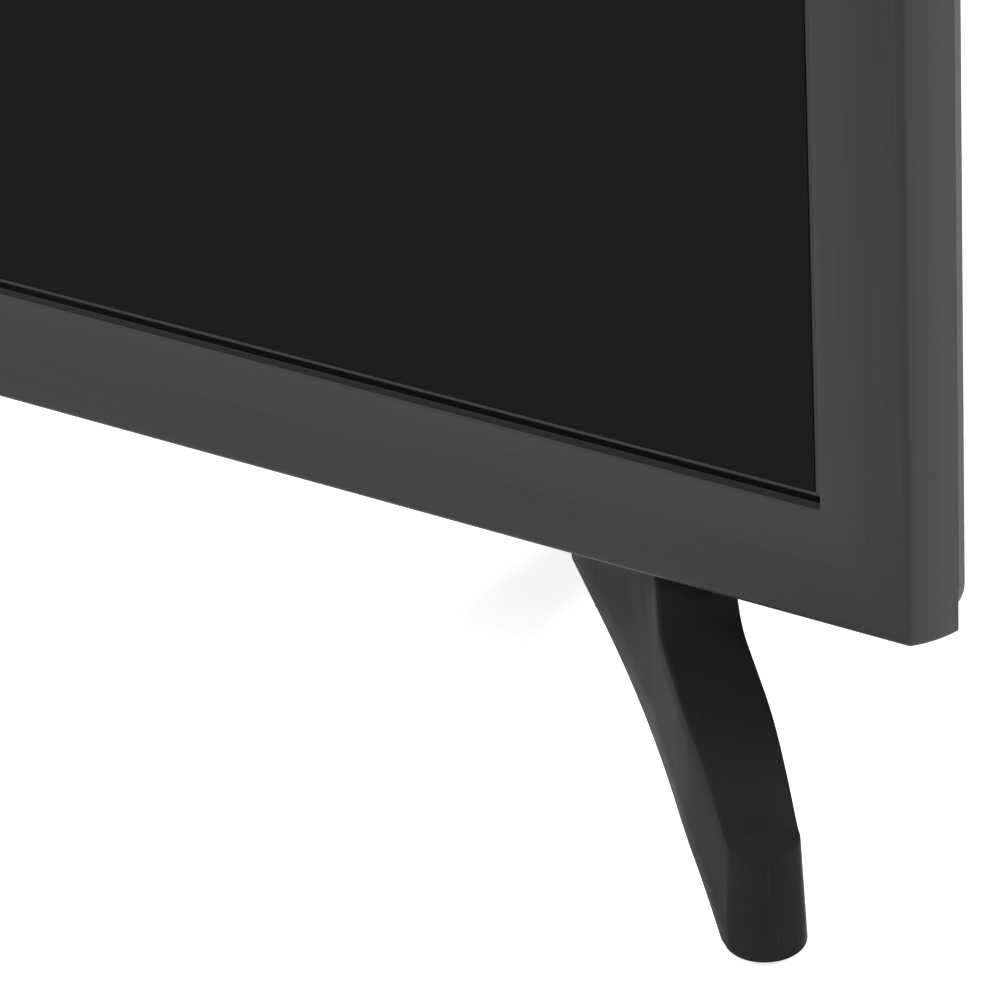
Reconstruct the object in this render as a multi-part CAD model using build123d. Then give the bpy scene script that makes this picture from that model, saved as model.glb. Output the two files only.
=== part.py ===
"""Flat screen television of the 40 inch class, on two splayed feet.

X runs along the screen to the viewer's right, Y from the screen towards the back and Z up.
Pieces are drawn with Y counted from the front face of the bezel. The finished set is then moved
so that its origin lies on the floor, in the middle of its outline.
"""
from build123d import *
from itertools import accumulate
from math import cos, radians, sin
import os

os.makedirs("parts", exist_ok=True)

# Picture and front bezel
active_w = 885.6             # picture width
active_h = 498.15            # picture height
black_rim = 2.0              # black edge of the glass that shows round the picture
side_face = 16.7             # bezel face at the sides
top_face = 16.7              # bezel face at the top
bottom_face = 22.0           # bezel face at the bottom
face_t = 1.9                 # thickness of the bezel face
bezel_wall = 2.4             # thickness of its side walls
bezel_depth = 12.6           # front to back
flare = 2.85                 # how far the walls lean outwards at the back
flare_shares = ((0, 0), (0.37, 0.47), (0.69, 0.80), (1, 1))   # depth share, flare share
clearance = 52.0             # floor to the bezel's lower front edge
over = 1.0                   # overrun of every cut
fit = 0.3                    # running and assembly gap
tight = 0.1                  # gap between pressed or clipped pieces

window_w = active_w + 2 * black_rim
window_h = active_h + 2 * black_rim
front_w = window_w + 2 * side_face
front_h = window_h + bottom_face + top_face
window_z = clearance + bottom_face
screen_mid = window_z + window_h / 2
front_mid = clearance + front_h / 2

# Liquid crystal panel, from the front backwards
gasket_t = 0.5
gasket_w = 3.0
polariser_t = 0.22
glass_t = 0.5
glass_margin = 4.0           # glass beyond the window on every side
bond_edge = 3.5              # strip of the rear glass below the front one, for the flexes
mid_wall = 1.4
mid_ledge_t = 1.5
sheet_t = 0.3
diffuser_t = 2.0
plate_t = 0.8                # steel of the back plate
tray_depth = 15.0            # light space between diffuser and back plate
tray_inset = 1.6             # tray wall inside the glass edge
reflector_t = 0.4
reflector_slope = 9.0        # run of the reflector's slanted sides

glass_w = window_w + 2 * glass_margin
glass_h = window_h + 2 * glass_margin
glass_y = face_t + gasket_t
cell_y = glass_y + glass_t
ledge_y = cell_y + glass_t
sheets_y = ledge_y + mid_ledge_t
diffuser_y = sheets_y + 2 * sheet_t
flange_y = diffuser_y + diffuser_t
tray_y = flange_y + tray_depth          # inner face of the back plate
back_y = tray_y + plate_t               # outer face of the back plate
tray_w = glass_w - 2 * tray_inset
tray_h = glass_h - 2 * tray_inset
cell_low = window_z - glass_margin - bond_edge

# Light strips
strip_count = 5
strip_h = 14.0
strip_t = 1.0
strip_end = 40.0             # tray wall to the end of a strip
leds_per_strip = 9
lens_r = 7.5
lens_h = 5.0
support_r = 5.0
support_tip_r = 1.5
support_columns = 3

# Rear cover
seam = 0.4                   # parting line behind the bezel
cover_t = 2.4
cover_inset = 0.3
cover_corner = 8.0
lip_depth = 2.2              # straight lip beside the parting line
shoulder = 14.0              # slope of the cover at the sides and the top
bottom_shoulder = 4.0        # slope at the bottom
thin_y = 38.0                # back of the thin upper part
bulge_y = 74.0               # back of the lower bulge
bulge_low = 66.0             # height of the bulge's lower wall
speaker_band_h = 46.0        # height of the wide lower part of the bulge
bulge_top = 212.0
bulge_half_w = 232.0
speaker_half_w = 352.0
bulge_corner = 10.0
bulge_edge = 5.0
vent_h = 2.4
vent_w = 34.0
vent_pitch = 7.0
vent_gap = 10.0
vent_rows = 7
vent_columns = 8
grille_w = 2.4
grille_pitch = 6.0
grille_count = 14

cover_y = bezel_depth + seam
cover_w = front_w + 2 * flare - 2 * cover_inset
cover_h = front_h + 2 * flare - 2 * cover_inset
speaker_top = bulge_low + speaker_band_h

# Screws
screw_r = 1.5
screw_head_r = 2.8
screw_head_h = 1.8
screw_gap = 0.05
boss_r = 3.0
boss_inset = 6.4
well_wall = 1.1
well_floor = 2.0
cover_screw_len = 9.0
board_screw_len = 5.0

# Wall mount
mount_spacing = 200.0
mount_rise = 13.0            # top of the bulge to the lower nuts
mount_nut_r = 7.0
mount_thread_r = 2.5

# Boards
board_t = 1.6
power_lift = 8.0             # back plate to the power board
main_lift = 14.0             # back plate to the main board
stud_r = 3.2
stud_inset = 5.0             # board edge to its screws
stud_rise = 18.0             # lower edge of a board to its lower screws
socket_room = 22.0           # outer edge of the main board to its screws
board_low = 74.0
board_top = 203.0
board_inner = 18.0           # from the middle of the set to each board
board_gap = 5.6              # side wall of the bulge to each board
board_outer = bulge_half_w - cover_t - board_gap
power_y = back_y + power_lift
main_y = back_y + main_lift

# Feet
splay = 45.5                 # turn of the front leg, in degrees
toe_inset = 16.7             # bezel edge to the toe's centre
toe_ahead = 21.6             # toe's centre in front of the bezel
toe_r = 7.25
leg_half = 8.8               # half the leg's thickness at floor level, away from the toe
thicken_run = 20.0           # length over which the leg reaches it
draft = 2.2                  # lean of the flanks, in degrees
leg_len = 104.0              # toe centre to hub
arch_len = 84.0              # toe centre to the top of the arch
rear_len = 86.0              # hub to rear toe centre
rear_half = 7.6              # half the rear leg's thickness at the hub
rear_step = 0.8              # rear leg's top and underside inside the hub's
arch_h = 19.5                # height of the arch under the hub
lip_h = 22.0                 # level top of the toe
nose_h = 27.4                # height of the nose above the toe
nose_run = 6.5
ramp_h = 31.3                # height where the ramp starts
ramp_start = 12.8
neck_h = 40.4                # height of the ramp at the neck
neck_run = 36.5
neck_lean = 4.4
neck_len = 40.0
hub_h = 43.0
sole_gap = 0.6               # the toe's underside above the floor
pad_r = 3.6
pad_ahead = 2.4
pad_depth = 1.4
flat_run = 2.0
arch_shares = ((0.174, 0.435), (0.485, 0.842))      # share of the run, share of the arch
arch_slope = 0.65            # rise of the arch where it leaves the toe
tenon_w = 11.0               # tenon across the set
tenon_d = 7.0                # tenon front to back
tenon_h = 24.0               # tenon inside its sleeve
sleeve_t = 2.0
tongue_w = 40.0
tongue_h = 20.0
foot_screw_r = 2.0
foot_screw_head_r = 3.8
foot_screw_head_h = 2.4
foot_screw_len = 12.0

splay_sin, splay_cos = sin(radians(splay)), cos(radians(splay))
toe_x = front_w / 2 - toe_inset
hub_x = toe_x - leg_len * splay_sin
hub_y = leg_len * splay_cos - toe_ahead
foot_front = -toe_ahead - toe_r
foot_back = hub_y + rear_len + toe_r
mid_depth = (foot_front + foot_back) / 2
tenon_y = back_y + sleeve_t + fit + tenon_d / 2


def save(name, *solids):
    """Write one sub-part, moved so that the origin is in the middle of the outline."""
    placed = [solid.solid().moved(Location((0, -mid_depth, 0))) for solid in solids]
    export_step(placed[0] if len(placed) == 1 else Compound(children=placed), f"parts/{name}.step")


def span(x, y, z):
    """Block that fills three (low, high) spans."""
    size = [high - low for low, high in (x, y, z)]
    return Pos(sum(x) / 2, sum(y) / 2, sum(z) / 2) * Box(*size)


def slab(x, z, w, h, y):
    """Upright block centred on x and z, over the depth span y."""
    return span((x - w / 2, x + w / 2), y, (z - h / 2, z + h / 2))


def ring(x, z, outer, inner, y):
    """Upright rectangular ring, given its outer and inner (width, height)."""
    return slab(x, z, *outer, y) - slab(x, z, *inner, (y[0] - over, y[1] + over))


def post(x, z, r, y):
    """Cylinder along Y over the depth span y."""
    return Pos(x, sum(y) / 2, z) * Rot(X=90) * Cylinder(r, y[1] - y[0])


def upright(x, y, r, z):
    """Cylinder along Z over the height span z."""
    return Pos(x, y, sum(z) / 2) * Cylinder(r, z[1] - z[0])


def face_at(y):
    """Plane at depth y, drawn on with X across and Z up."""
    return Plane(origin=(0, y, 0), x_dir=(1, 0, 0), z_dir=(0, -1, 0))


def mirrored(solid):
    """The same piece on the other side of the set."""
    return solid.mirror(Plane.YZ)


def pair(solid):
    """A piece and its mirror image."""
    return [solid, mirrored(solid)]


def joined(first, *others):
    """One solid from overlapping ones."""
    for other in others:
        first = first + other
    return first


def cut(first, *others):
    """A solid less all the others."""
    return first - list(others)


def shares(low, high, count):
    """Evenly spread places, each in the middle of its own share of the span."""
    step = (high - low) / count
    return [low + step * i + step / 2 for i in range(count)]


def wire(points, r):
    """Round lead along straight runs joined by arcs."""
    radius = 3 * r
    path = FilletPolyline(*points, radius=radius)
    start = Plane(origin=path @ 0, z_dir=path % 0)
    return sweep(start * Circle(r), path=path)


def flare_at(depth):
    """Outward lean of the bezel's wall at a depth."""
    share = depth / bezel_depth
    for (s0, f0), (s1, f1) in zip(flare_shares, flare_shares[1:]):
        if share <= s1:
            return flare * (f0 + (f1 - f0) * (share - s0) / (s1 - s0))
    return flare


def flared_block(grow, start, end):
    """Block inside the bezel's leaning walls, grown outwards by a margin."""
    stations = [start] + [s * bezel_depth for s, _ in flare_shares if start < s * bezel_depth < end] + [end]
    faces = []
    for depth in stations:
        out = 2 * (flare_at(depth) + grow)
        faces.append(face_at(depth) * Pos(0, front_mid) * Rectangle(front_w + out, front_h + out))
    return loft(faces, ruled=True)


def around(x_out, x_count, z_low, z_top, z_count):
    """Places round the rim: rows along the bottom and top, columns up both sides."""
    across = [(x, z) for x in shares(-x_out, x_out, x_count) for z in (z_low, z_top)]
    up = [(x, z) for z in shares(z_low, z_top, z_count) for x in (-x_out, x_out)]
    return across + up


rim_x = front_w / 2 - boss_inset
rim_screws = around(rim_x, 4, clearance + boss_inset, clearance + front_h - boss_inset, 3)

# Infrared window in the middle of the lower bezel
eye_w = 16.0
eye_h = 3.6
eye_rise = 7.4               # lower edge of the bezel to the middle of the window
eye_flange = 1.5
eye_flange_t = 1.0
eye_sunk = 0.1               # window behind the bezel's face
eye_z = clearance + eye_rise


def front_bezel():
    """Flared frame with its face, open window and screw bosses."""
    body = flared_block(0, 0, bezel_depth) - flared_block(-bezel_wall, face_t, bezel_depth + over)
    body -= slab(0, screen_mid, window_w, window_h, (-over, face_t + over))
    for x, z in rim_screws:
        body += post(x, z, boss_r, (face_t / 2, bezel_depth))
        body -= post(x, z, screw_r + screw_gap, (face_t, bezel_depth + over))
    return body - slab(0, eye_z, eye_w, eye_h, (-over, face_t + over))


def infrared_window():
    """Dark lens that fills the slot in the bezel, with a flange behind it."""
    lens = slab(0, eye_z, eye_w - 2 * tight, eye_h - 2 * tight, (eye_sunk, face_t + eye_flange_t))
    flange = slab(0, eye_z, eye_w + 2 * eye_flange, eye_h + 2 * eye_flange,
                  (face_t, face_t + eye_flange_t))
    return lens + flange


save("front_bezel", front_bezel())
save("infrared_window", infrared_window())
save("screen_gasket", ring(0, screen_mid, (window_w + 2 * gasket_w, window_h + 2 * gasket_w),
                           (window_w, window_h), (face_t, glass_y)))
save("front_polariser", slab(0, screen_mid, active_w, active_h, (glass_y - polariser_t, glass_y)))
save("filter_glass", slab(0, screen_mid, glass_w, glass_h, (glass_y, cell_y)))
save("cell_glass", slab(0, screen_mid - bond_edge / 2, glass_w, glass_h + bond_edge, (cell_y, ledge_y)))
save("rear_polariser", slab(0, screen_mid, window_w - 2 * fit, window_h - 2 * fit,
                            (ledge_y, ledge_y + polariser_t)))

# The mid frame carries the glass on a ledge and clamps the sheets against it
mid_in_w = glass_w + 2 * fit
mid_in_h = glass_h + 2 * fit
mid_out_w = mid_in_w + 2 * mid_wall
mid_out_h = mid_in_h + 2 * mid_wall
flex_half = 21.0
flex_count = 6
flex_t = 0.2


def mid_frame():
    """Moulded rim with a ledge, notched below where the flexes pass."""
    rim = ring(0, screen_mid, (mid_out_w, mid_out_h), (mid_in_w, mid_in_h), (glass_y, flange_y))
    ledge = ring(0, screen_mid, (mid_out_w, mid_out_h), (window_w, window_h), (ledge_y, sheets_y))
    body = rim + ledge
    low = screen_mid - mid_out_h / 2
    return body - span((-glass_w / 2 - fit, glass_w / 2 + fit), (glass_y - over, ledge_y),
                       (low - over, low + mid_wall + over))


save("mid_frame", mid_frame())
save("optical_sheets", *[slab(0, screen_mid, glass_w, glass_h, (y, y + sheet_t))
                         for y in (sheets_y, sheets_y + sheet_t)])
save("diffuser_plate", slab(0, screen_mid, glass_w, glass_h, (diffuser_y, flange_y)))

strip_rows = shares(screen_mid - tray_h / 2, screen_mid + tray_h / 2, strip_count)
strip_half = tray_w / 2 - strip_end
lens_columns = shares(-strip_half, strip_half, leds_per_strip)
strip_y = tray_y - strip_t
support_places = [(x, (a + b) / 2) for x in shares(-strip_half, strip_half, support_columns)
                  for a, b in zip(strip_rows, strip_rows[1:])]


def led_lens(x, z):
    """Domed lens over one light source."""
    dome = post(x, z, lens_r, (strip_y - lens_h, strip_y))
    rim = dome.edges().filter_by(GeomType.CIRCLE).sort_by(Axis.Y)[0]
    return fillet(rim, lens_h / 2)


def diffuser_support(x, z):
    """White cone that keeps the diffuser off the lights."""
    cone = Pos(x, (flange_y + fit + tray_y) / 2, z) * Rot(X=90)
    return cone * Cone(support_r, support_tip_r, tray_y - flange_y - fit)


def reflector_sheet():
    """White dish with slanted sides and a hole round every lens and support."""
    def dish(y, grow):
        room = 2 * (plate_t + fit + grow)
        wide = (tray_w - room, tray_h - room)
        narrow = (wide[0] - 2 * reflector_slope, wide[1] - 2 * reflector_slope)
        front = face_at(flange_y) * Pos(0, screen_mid) * Rectangle(*wide)
        back = face_at(y) * Pos(0, screen_mid) * Rectangle(*narrow)
        return loft([front, back], ruled=True)
    sheet = dish(strip_y - fit, 0) - dish(strip_y - fit - reflector_t, reflector_t)
    holes = [post(x, z, lens_r + fit, (flange_y, tray_y)) for x in lens_columns for z in strip_rows]
    holes += [post(x, z, support_r + fit, (flange_y, tray_y)) for x, z in support_places]
    return cut(sheet, *holes)


save("reflector_sheet", reflector_sheet())
save("led_strips", *[slab(0, z, 2 * strip_half, strip_h, (strip_y, tray_y)) for z in strip_rows])
save("led_lenses", *[led_lens(x, z) for x in lens_columns for z in strip_rows])
save("diffuser_supports", *[diffuser_support(x, z) for x, z in support_places])

# Boards, studs and pressed back plate
source_h = 12.0
source_low = 75.0
source_inner = 10.0
flex_edge = 60.0             # picture edge to the span that the flexes share
timing_w = 130.0
timing_h = 50.0
timing_low = 220.0
ribbon_t = 0.3
ribbon_w = 22.0
ribbon_x = 38.0
ribbon_lap = 6.0
signal_w = 14.0
signal_x = 57.5
signal_lap = 8.0
signal_bend = 3.0
rib_w = 620.0
rib_h = 16.0
rib_t = 3.0
rib_gap = 50.0               # top of the timing board to the span that the ribs share
rib_count = 2

source_y = back_y + board_t
main_face = main_y + board_t
power_face = power_y + board_t
header_z = 110.0
header = 8.0


def corners(x0, x1, z0, z1, outer=stud_inset):
    """Screw places near the corners of a board."""
    return [(x, z) for x in (x0 + stud_inset, x1 - outer) for z in (z0 + stud_rise, z1 - stud_inset)]


main_screws = corners(board_inner, board_outer, board_low, board_top, socket_room)
power_screws = corners(-board_outer, -board_inner, board_low, board_top)
timing_screws = corners(-timing_w / 2, timing_w / 2, timing_low, timing_low + timing_h)
mount_places = [(x, bulge_top + mount_rise + z) for x in (-mount_spacing / 2, mount_spacing / 2)
                for z in (0, mount_spacing)]
tenon_x = toe_x - (tenon_y + toe_ahead) * splay_sin / splay_cos
sleeve_low = clearance + bottom_shoulder - fit
sleeve_top = sleeve_low + tenon_h
tongue_screws = [(side * (tenon_x + offset), sleeve_top + tongue_h - stud_inset) for side in (-1, 1)
                 for offset in (-tongue_w / 4, tongue_w / 4)]


def back_plate():
    """Steel tray that holds the lights, with ribs, and studs for the boards."""
    flange = ring(0, screen_mid, (glass_w, glass_h), (tray_w - 2 * plate_t, tray_h - 2 * plate_t),
                  (flange_y, flange_y + plate_t))
    wall = ring(0, screen_mid, (tray_w, tray_h), (tray_w - 2 * plate_t, tray_h - 2 * plate_t),
                (flange_y, back_y))
    body = joined(flange, wall, slab(0, screen_mid, tray_w, tray_h, (tray_y, back_y)))
    for z in shares(timing_low + timing_h + rib_gap, screen_mid + tray_h / 2, rib_count):
        body += slab(0, z, rib_w, rib_h, (tray_y, back_y + rib_t))
        hollow = (tray_y - over, back_y + rib_t - plate_t)
        body -= slab(0, z, rib_w - 2 * plate_t, rib_h - 2 * plate_t, hollow)
    for places, lift in ((main_screws, main_y), (power_screws, power_y)):
        for x, z in places:
            body += post(x, z, stud_r, (back_y - plate_t / 2, lift))
            body -= post(x, z, screw_r + screw_gap, (back_y, lift + over))
    for x, z in timing_screws + tongue_screws:
        body -= post(x, z, screw_r + screw_gap, (tray_y - over, back_y + over))
    return body


def board(x0, x1, z0, z1, y, screws):
    """Printed board with clearance holes for its screws."""
    holes = [post(x, z, screw_r + screw_gap, (y - over, y + board_t + over)) for x, z in screws]
    return cut(span((x0, x1), (y, y + board_t), (z0, z1)), *holes)


def source_flex(x):
    """Thin flex from the glass edge, round the mid frame, to the source board behind."""
    fold = cell_low - signal_bend / 2
    glass_low = screen_mid - glass_h / 2
    wide = (x - flex_half, x + flex_half)
    front = span(wide, (cell_y - flex_t, cell_y), (fold, glass_low - tight))
    under = span(wide, (cell_y - flex_t, source_y + flex_t), (fold, fold + flex_t))
    rear = span(wide, (source_y, source_y + flex_t), (fold, source_low + source_h / 3))
    return joined(front, under, rear)


def signal_ribbon():
    """Flat cable from the main board, forward and up to the timing board."""
    x = (signal_x - signal_w / 2, signal_x + signal_w / 2)
    top = board_top + signal_bend
    up = span(x, (main_face, main_face + ribbon_t), (board_top - signal_lap, top))
    across = span(x, (source_y, main_face + ribbon_t), (top - ribbon_t, top))
    rise = span(x, (source_y, source_y + ribbon_t), (top - ribbon_t, timing_low + signal_lap))
    return joined(up, across, rise)


flex_places = shares(-active_w / 2 + flex_edge, active_w / 2 - flex_edge, flex_count)
source_span = (source_inner, flex_places[-1] + flex_half + stud_inset)
source_z = (source_low, source_low + source_h)
save("back_plate", back_plate())
save("source_boards", *pair(span(source_span, (back_y, source_y), source_z)))
save("source_flexes", *[source_flex(x) for x in flex_places])
save("timing_board", board(-timing_w / 2, timing_w / 2, timing_low, timing_low + timing_h, back_y,
                           timing_screws))
save("timing_ribbons", *pair(span((ribbon_x - ribbon_w / 2, ribbon_x + ribbon_w / 2),
                                  (source_y, source_y + ribbon_t),
                                  (source_low + source_h - ribbon_lap, timing_low + ribbon_lap))))
save("signal_ribbon", signal_ribbon())
save("main_board", board(board_inner, board_outer, board_low, board_top, main_y, main_screws))
save("power_board", board(-board_outer, -board_inner, board_low, board_top, power_y, power_screws))

# Sockets on the main board. Each is drawn with its mouth facing down, its width along X and its
# back on the board, and is then placed on the lower edge or turned to face the side.
plate_gap = 0.1
terminal_t = 1.2
terminal_lap = 4.0
terminal_y = 60.0
socket_wall = 0.6
hdmi = (15.2, 6.2, 12.0)     # width, thickness, depth
hdmi_tongue = 1.0
usb = (13.8, 6.4, 14.0)
usb_tongue = 1.6
network = (16.0, 13.4, 18.0)
optical = (9.8, 9.8, 13.0)
optical_wall = 2.2
jack = (12.0, 6.6, 14.0)
jack_hole_r = 1.8
jack_nose_r = 3.0
av = (10.4, 12.4, 13.0)
av_r = 4.15
av_hole_r = 1.6
av_len = 7.5
tuner_size = (38.0, 12.0, 46.0)
coax_r = 4.7
coax_len = 10.0
coax_hole_r = 0.8
lower_shares = (0.194, 0.398, 0.515, 0.631, 0.704, 0.777)   # inner to outer edge of the board
side_steps = (56.0, 26.0, 22.0, 16.0)                # board's lower edge to the first socket, then up
lower_mouth = bulge_low + cover_t + plate_gap
side_mouth = bulge_half_w - cover_t - plate_gap
side_low = speaker_top + terminal_lap
tuner_place, network_place, optical_place, *av_places = [
    board_inner + share * (board_outer - board_inner) for share in lower_shares]
*hdmi_places, usb_place, jack_place = [board_low + run for run in accumulate(side_steps)]


def shell(size, wall, tongue_t=0):
    """Rectangular socket: a pocket with, in most kinds, a contact tongue down its middle."""
    w, h, depth = size
    body = span((-w / 2, w / 2), (0, h), (0, depth))
    body -= span((wall - w / 2, w / 2 - wall), (wall, h - wall), (-over, depth - wall))
    if tongue_t:
        tongue_half = w / 2 - 2 * wall - tongue_t
        body += span((-tongue_half, tongue_half), ((h - tongue_t) / 2, (h + tongue_t) / 2),
                     (wall, depth - wall / 2))
    return body


def round_socket(size, nose_r, hole_r, nose_len):
    """Block with a round nose in front and a bore along the nose."""
    w, h, depth = size
    body = span((-w / 2, w / 2), (0, h), (0, depth)) + upright(0, h / 2, nose_r, (-nose_len, depth / 2))
    return body - upright(0, h / 2, hole_r, (-nose_len - over, depth - socket_wall))


def below(x, solid):
    """Put a socket on the lower edge of the main board."""
    return Pos(x, main_face, lower_mouth) * solid


def beside(z, solid):
    """Put a socket on the side edge of the main board, facing outwards."""
    return Pos(side_mouth, main_face, z) * Rot(Y=-90) * solid


def opening_below(x, w, h):
    """Cutter for a mouth in the lower terminal plate."""
    return span((x - w / 2 - fit, x + w / 2 + fit), (main_face - fit, main_face + h + fit),
                (lower_mouth - over, lower_mouth + terminal_t + over))


def opening_beside(z, w, h):
    """Cutter for a mouth in the side terminal plate."""
    return span((side_mouth - terminal_t - over, side_mouth + over), (main_face - fit, main_face + h + fit),
                (z - w / 2 - fit, z + w / 2 + fit))


lower_kinds = [(network_place, network), (optical_place, optical), (tuner_place, tuner_size)]
lower_kinds += [(x, av) for x in av_places]
side_kinds = [(z, hdmi) for z in hdmi_places] + [(usb_place, usb), (jack_place, jack)]
lower_window = ((board_inner + terminal_lap, board_outer - terminal_lap), (main_face, terminal_y))
side_window = ((main_face, terminal_y), (side_low + terminal_lap, board_top - terminal_lap))


def terminal_plates():
    """Steel plates behind the cover's two windows, with a mouth for every socket."""
    (x0, x1), (y0, y1) = lower_window
    lower = span((x0 - terminal_lap, x1 + terminal_lap), (y0 + tight, y1 + terminal_lap),
                 (lower_mouth, lower_mouth + terminal_t))
    for x, (w, h, _) in lower_kinds:
        lower -= opening_below(x, w, h)
    (y0, y1), (z0, z1) = side_window
    side = span((side_mouth - terminal_t, side_mouth), (y0 + tight, y1 + terminal_lap),
                (z0 - terminal_lap, z1 + terminal_lap))
    for z, (w, h, _) in side_kinds:
        side -= opening_beside(z, w, h)
    return lower, side


save("hdmi_sockets", *[beside(z, shell(hdmi, socket_wall, hdmi_tongue)) for z in hdmi_places])
save("usb_socket", beside(usb_place, shell(usb, socket_wall, usb_tongue)))
save("headphone_socket", beside(jack_place, round_socket(jack, jack_nose_r, jack_hole_r, 0)))
save("network_socket", below(network_place, shell(network, socket_wall)))
save("optical_socket", below(optical_place, shell(optical, optical_wall)))
save("av_sockets", *[below(x, round_socket(av, av_r, av_hole_r, av_len)) for x in av_places])
save("tuner", below(tuner_place, round_socket(tuner_size, coax_r, coax_hole_r, coax_len)))
save("terminal_plates", *terminal_plates())

# Parts on the boards
chip_t = 2.0
chip_widths = (27.0, 14.0, 14.0, 10.0)
chip_shares = ((0.5, 0.59), (0.68, 0.64), (0.32, 0.65), (0.5, 0.34))   # across and up the main board
sink_h = 16.0
fin_t = 1.5
fin_count = 8
transformer = (34.0, 28.0, 30.0)             # along X, depth and along Z
transformer_shares = ((0.5, 0.43), (0.8, 0.28))   # across and up the power board
capacitor_r = 9.0
capacitor_h = 30.0
capacitor_shares = ((0.26, 0.59), (0.26, 0.76))
power_sink = (50.0, 24.0, 3.0)               # along X, depth and along Z
power_sink_shares = ((0.5, 0.7), (0.8, 0.59))
inlet = (22.0, 16.0, 22.0)
inlet_in = 54.0              # outer edge of the power board to the inlet
inlet_wall = 2.6
pin_r = 1.2
pin_spread = 8.6
pin_len = 10.0
lead_r = 1.1
lead_x = 4.0
inlet_x = inlet_in - board_outer


def on_board(inner, outer, places):
    """Places on a board, from their shares of its width and height."""
    return [(inner + across * (outer - inner), board_low + up * (board_top - board_low))
            for across, up in places]


chip_places = on_board(board_inner, board_outer, chip_shares)
transformer_places = on_board(-board_outer, -board_inner, transformer_shares)
capacitor_places = on_board(-board_outer, -board_inner, capacitor_shares)
power_sink_places = on_board(-board_outer, -board_inner, power_sink_shares)


def main_chips():
    """Processor, memory and power chips on the main board."""
    return [slab(x, z, w, w, (main_face, main_face + chip_t)) for (x, z), w in zip(chip_places, chip_widths)]


def main_heat_sink():
    """Finned block on the processor."""
    (x, z), w = chip_places[0], chip_widths[0]
    start = main_face + chip_t
    body = slab(x, z, w, w, (start, start + fin_t))
    for place in shares(x - w / 2, x + w / 2, fin_count):
        body += slab(place, z, fin_t, w, (start, start + sink_h))
    return body


def transformer_block(x, z):
    """Wound coil between the two halves of a ferrite core."""
    w, depth, h = transformer
    core = slab(x, z, w, h, (power_face, power_face + depth))
    gap = slab(x, z, w + 2 * over, h / 2, (power_face - over, power_face + depth / 3))
    return core - gap


def power_heat_sink(x, z):
    """Upright plate beside a power transistor."""
    w, depth, h = power_sink
    return slab(x, z, w, h, (power_face, power_face + depth))


def mains_inlet():
    """Two-pin inlet whose mouth faces down through the cover."""
    w, h, depth = inlet
    body = shell(inlet, inlet_wall) + span((-w / 2, w / 2), (power_face - main_face, socket_wall),
                                           (board_low - lower_mouth + over, depth))
    pin = (depth - inlet_wall - pin_len, depth - inlet_wall / 2)
    for side in (-1, 1):
        body += upright(side * pin_spread / 2, h / 2, pin_r, pin)
    return Pos(inlet_x, main_face, lower_mouth) * body


def mains_leads():
    """Two leads from the inlet's back, down to the power board."""
    w, h, depth = inlet
    top = lower_mouth + depth
    leads = []
    for side in (-1, 1):
        x = inlet_x + side * lead_x
        rise = top + capacitor_r + side * lead_x / 2
        leads.append(wire([(x, main_face + h / 2, top), (x, main_face + h / 2, rise),
                           (x, power_face, rise)], lead_r))
    return leads


save("main_chips", *main_chips())
save("main_heat_sink", main_heat_sink())
save("transformers", *[transformer_block(x, z) for x, z in transformer_places])
save("bulk_capacitors", *[post(x, z, capacitor_r, (power_face, power_face + capacitor_h))
                          for x, z in capacitor_places])
save("power_heat_sinks", *[power_heat_sink(x, z) for x, z in power_sink_places])
save("mains_inlet", mains_inlet())
save("mains_leads", *mains_leads())

# Speakers, at the ends of the bulge's wide lower part
speaker_wall = 2.0
speaker_gap = 6.0            # board block of the bulge to the box's inner end
cone_margin = 17.0           # end of the box to the cone
cone_half_d = 11.0
cone_t = 0.8
cone_rise = 7.0
speaker_in = bulge_half_w + speaker_gap
speaker_out = speaker_half_w - cover_t - fit
speaker_y = thin_y + foot_screw_head_h + fit
speaker_back = bulge_y - cover_t - fit
speaker_low = bulge_low + cover_t + fit
speaker_high = speaker_top - cover_t - fit
cone_half_w = (speaker_out - speaker_in) / 2 - cone_margin
cone_x = (speaker_in + speaker_out) / 2
cone_y = (speaker_y + speaker_back) / 2
lead_in = 8.0                # corner of the box to its lead


def speaker_box():
    """Closed box with an oblong hole for the cone in its lower wall."""
    x, y, z = (speaker_in, speaker_out), (speaker_y, speaker_back), (speaker_low, speaker_high)
    inner = [(low + speaker_wall, high - speaker_wall) for low, high in (x, y, z)]
    hole = span((cone_x - cone_half_w, cone_x + cone_half_w), (cone_y - cone_half_d, cone_y + cone_half_d),
                (speaker_low - over, speaker_low + speaker_wall + over))
    outer = span(x, y, z)
    ends = outer.edges().filter_by(Axis.Y).group_by(Axis.X)[-1]
    return fillet(ends, bulge_corner) - span(*inner) - hole


def cone_face(z, inset):
    """Oblong section of the cone at a height."""
    plane = Plane(origin=(cone_x, cone_y, z), x_dir=(1, 0, 0), z_dir=(0, 0, 1))
    return plane * RectangleRounded(2 * (cone_half_w - inset), 2 * (cone_half_d - inset),
                                    (cone_half_d - inset) / 2)


def speaker_cone():
    """Shallow oblong cone, seated in the box's hole."""
    low = speaker_low + speaker_wall / 4
    skins = [loft([cone_face(z, fit), cone_face(z + cone_rise, cone_half_d / 2)], ruled=True)
             for z in (low, low - cone_t)]
    return skins[0] - skins[1]


lead_z = speaker_low + lead_in
lead_y = speaker_y + lead_in
lead_run = board_inner - header / 2


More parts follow.
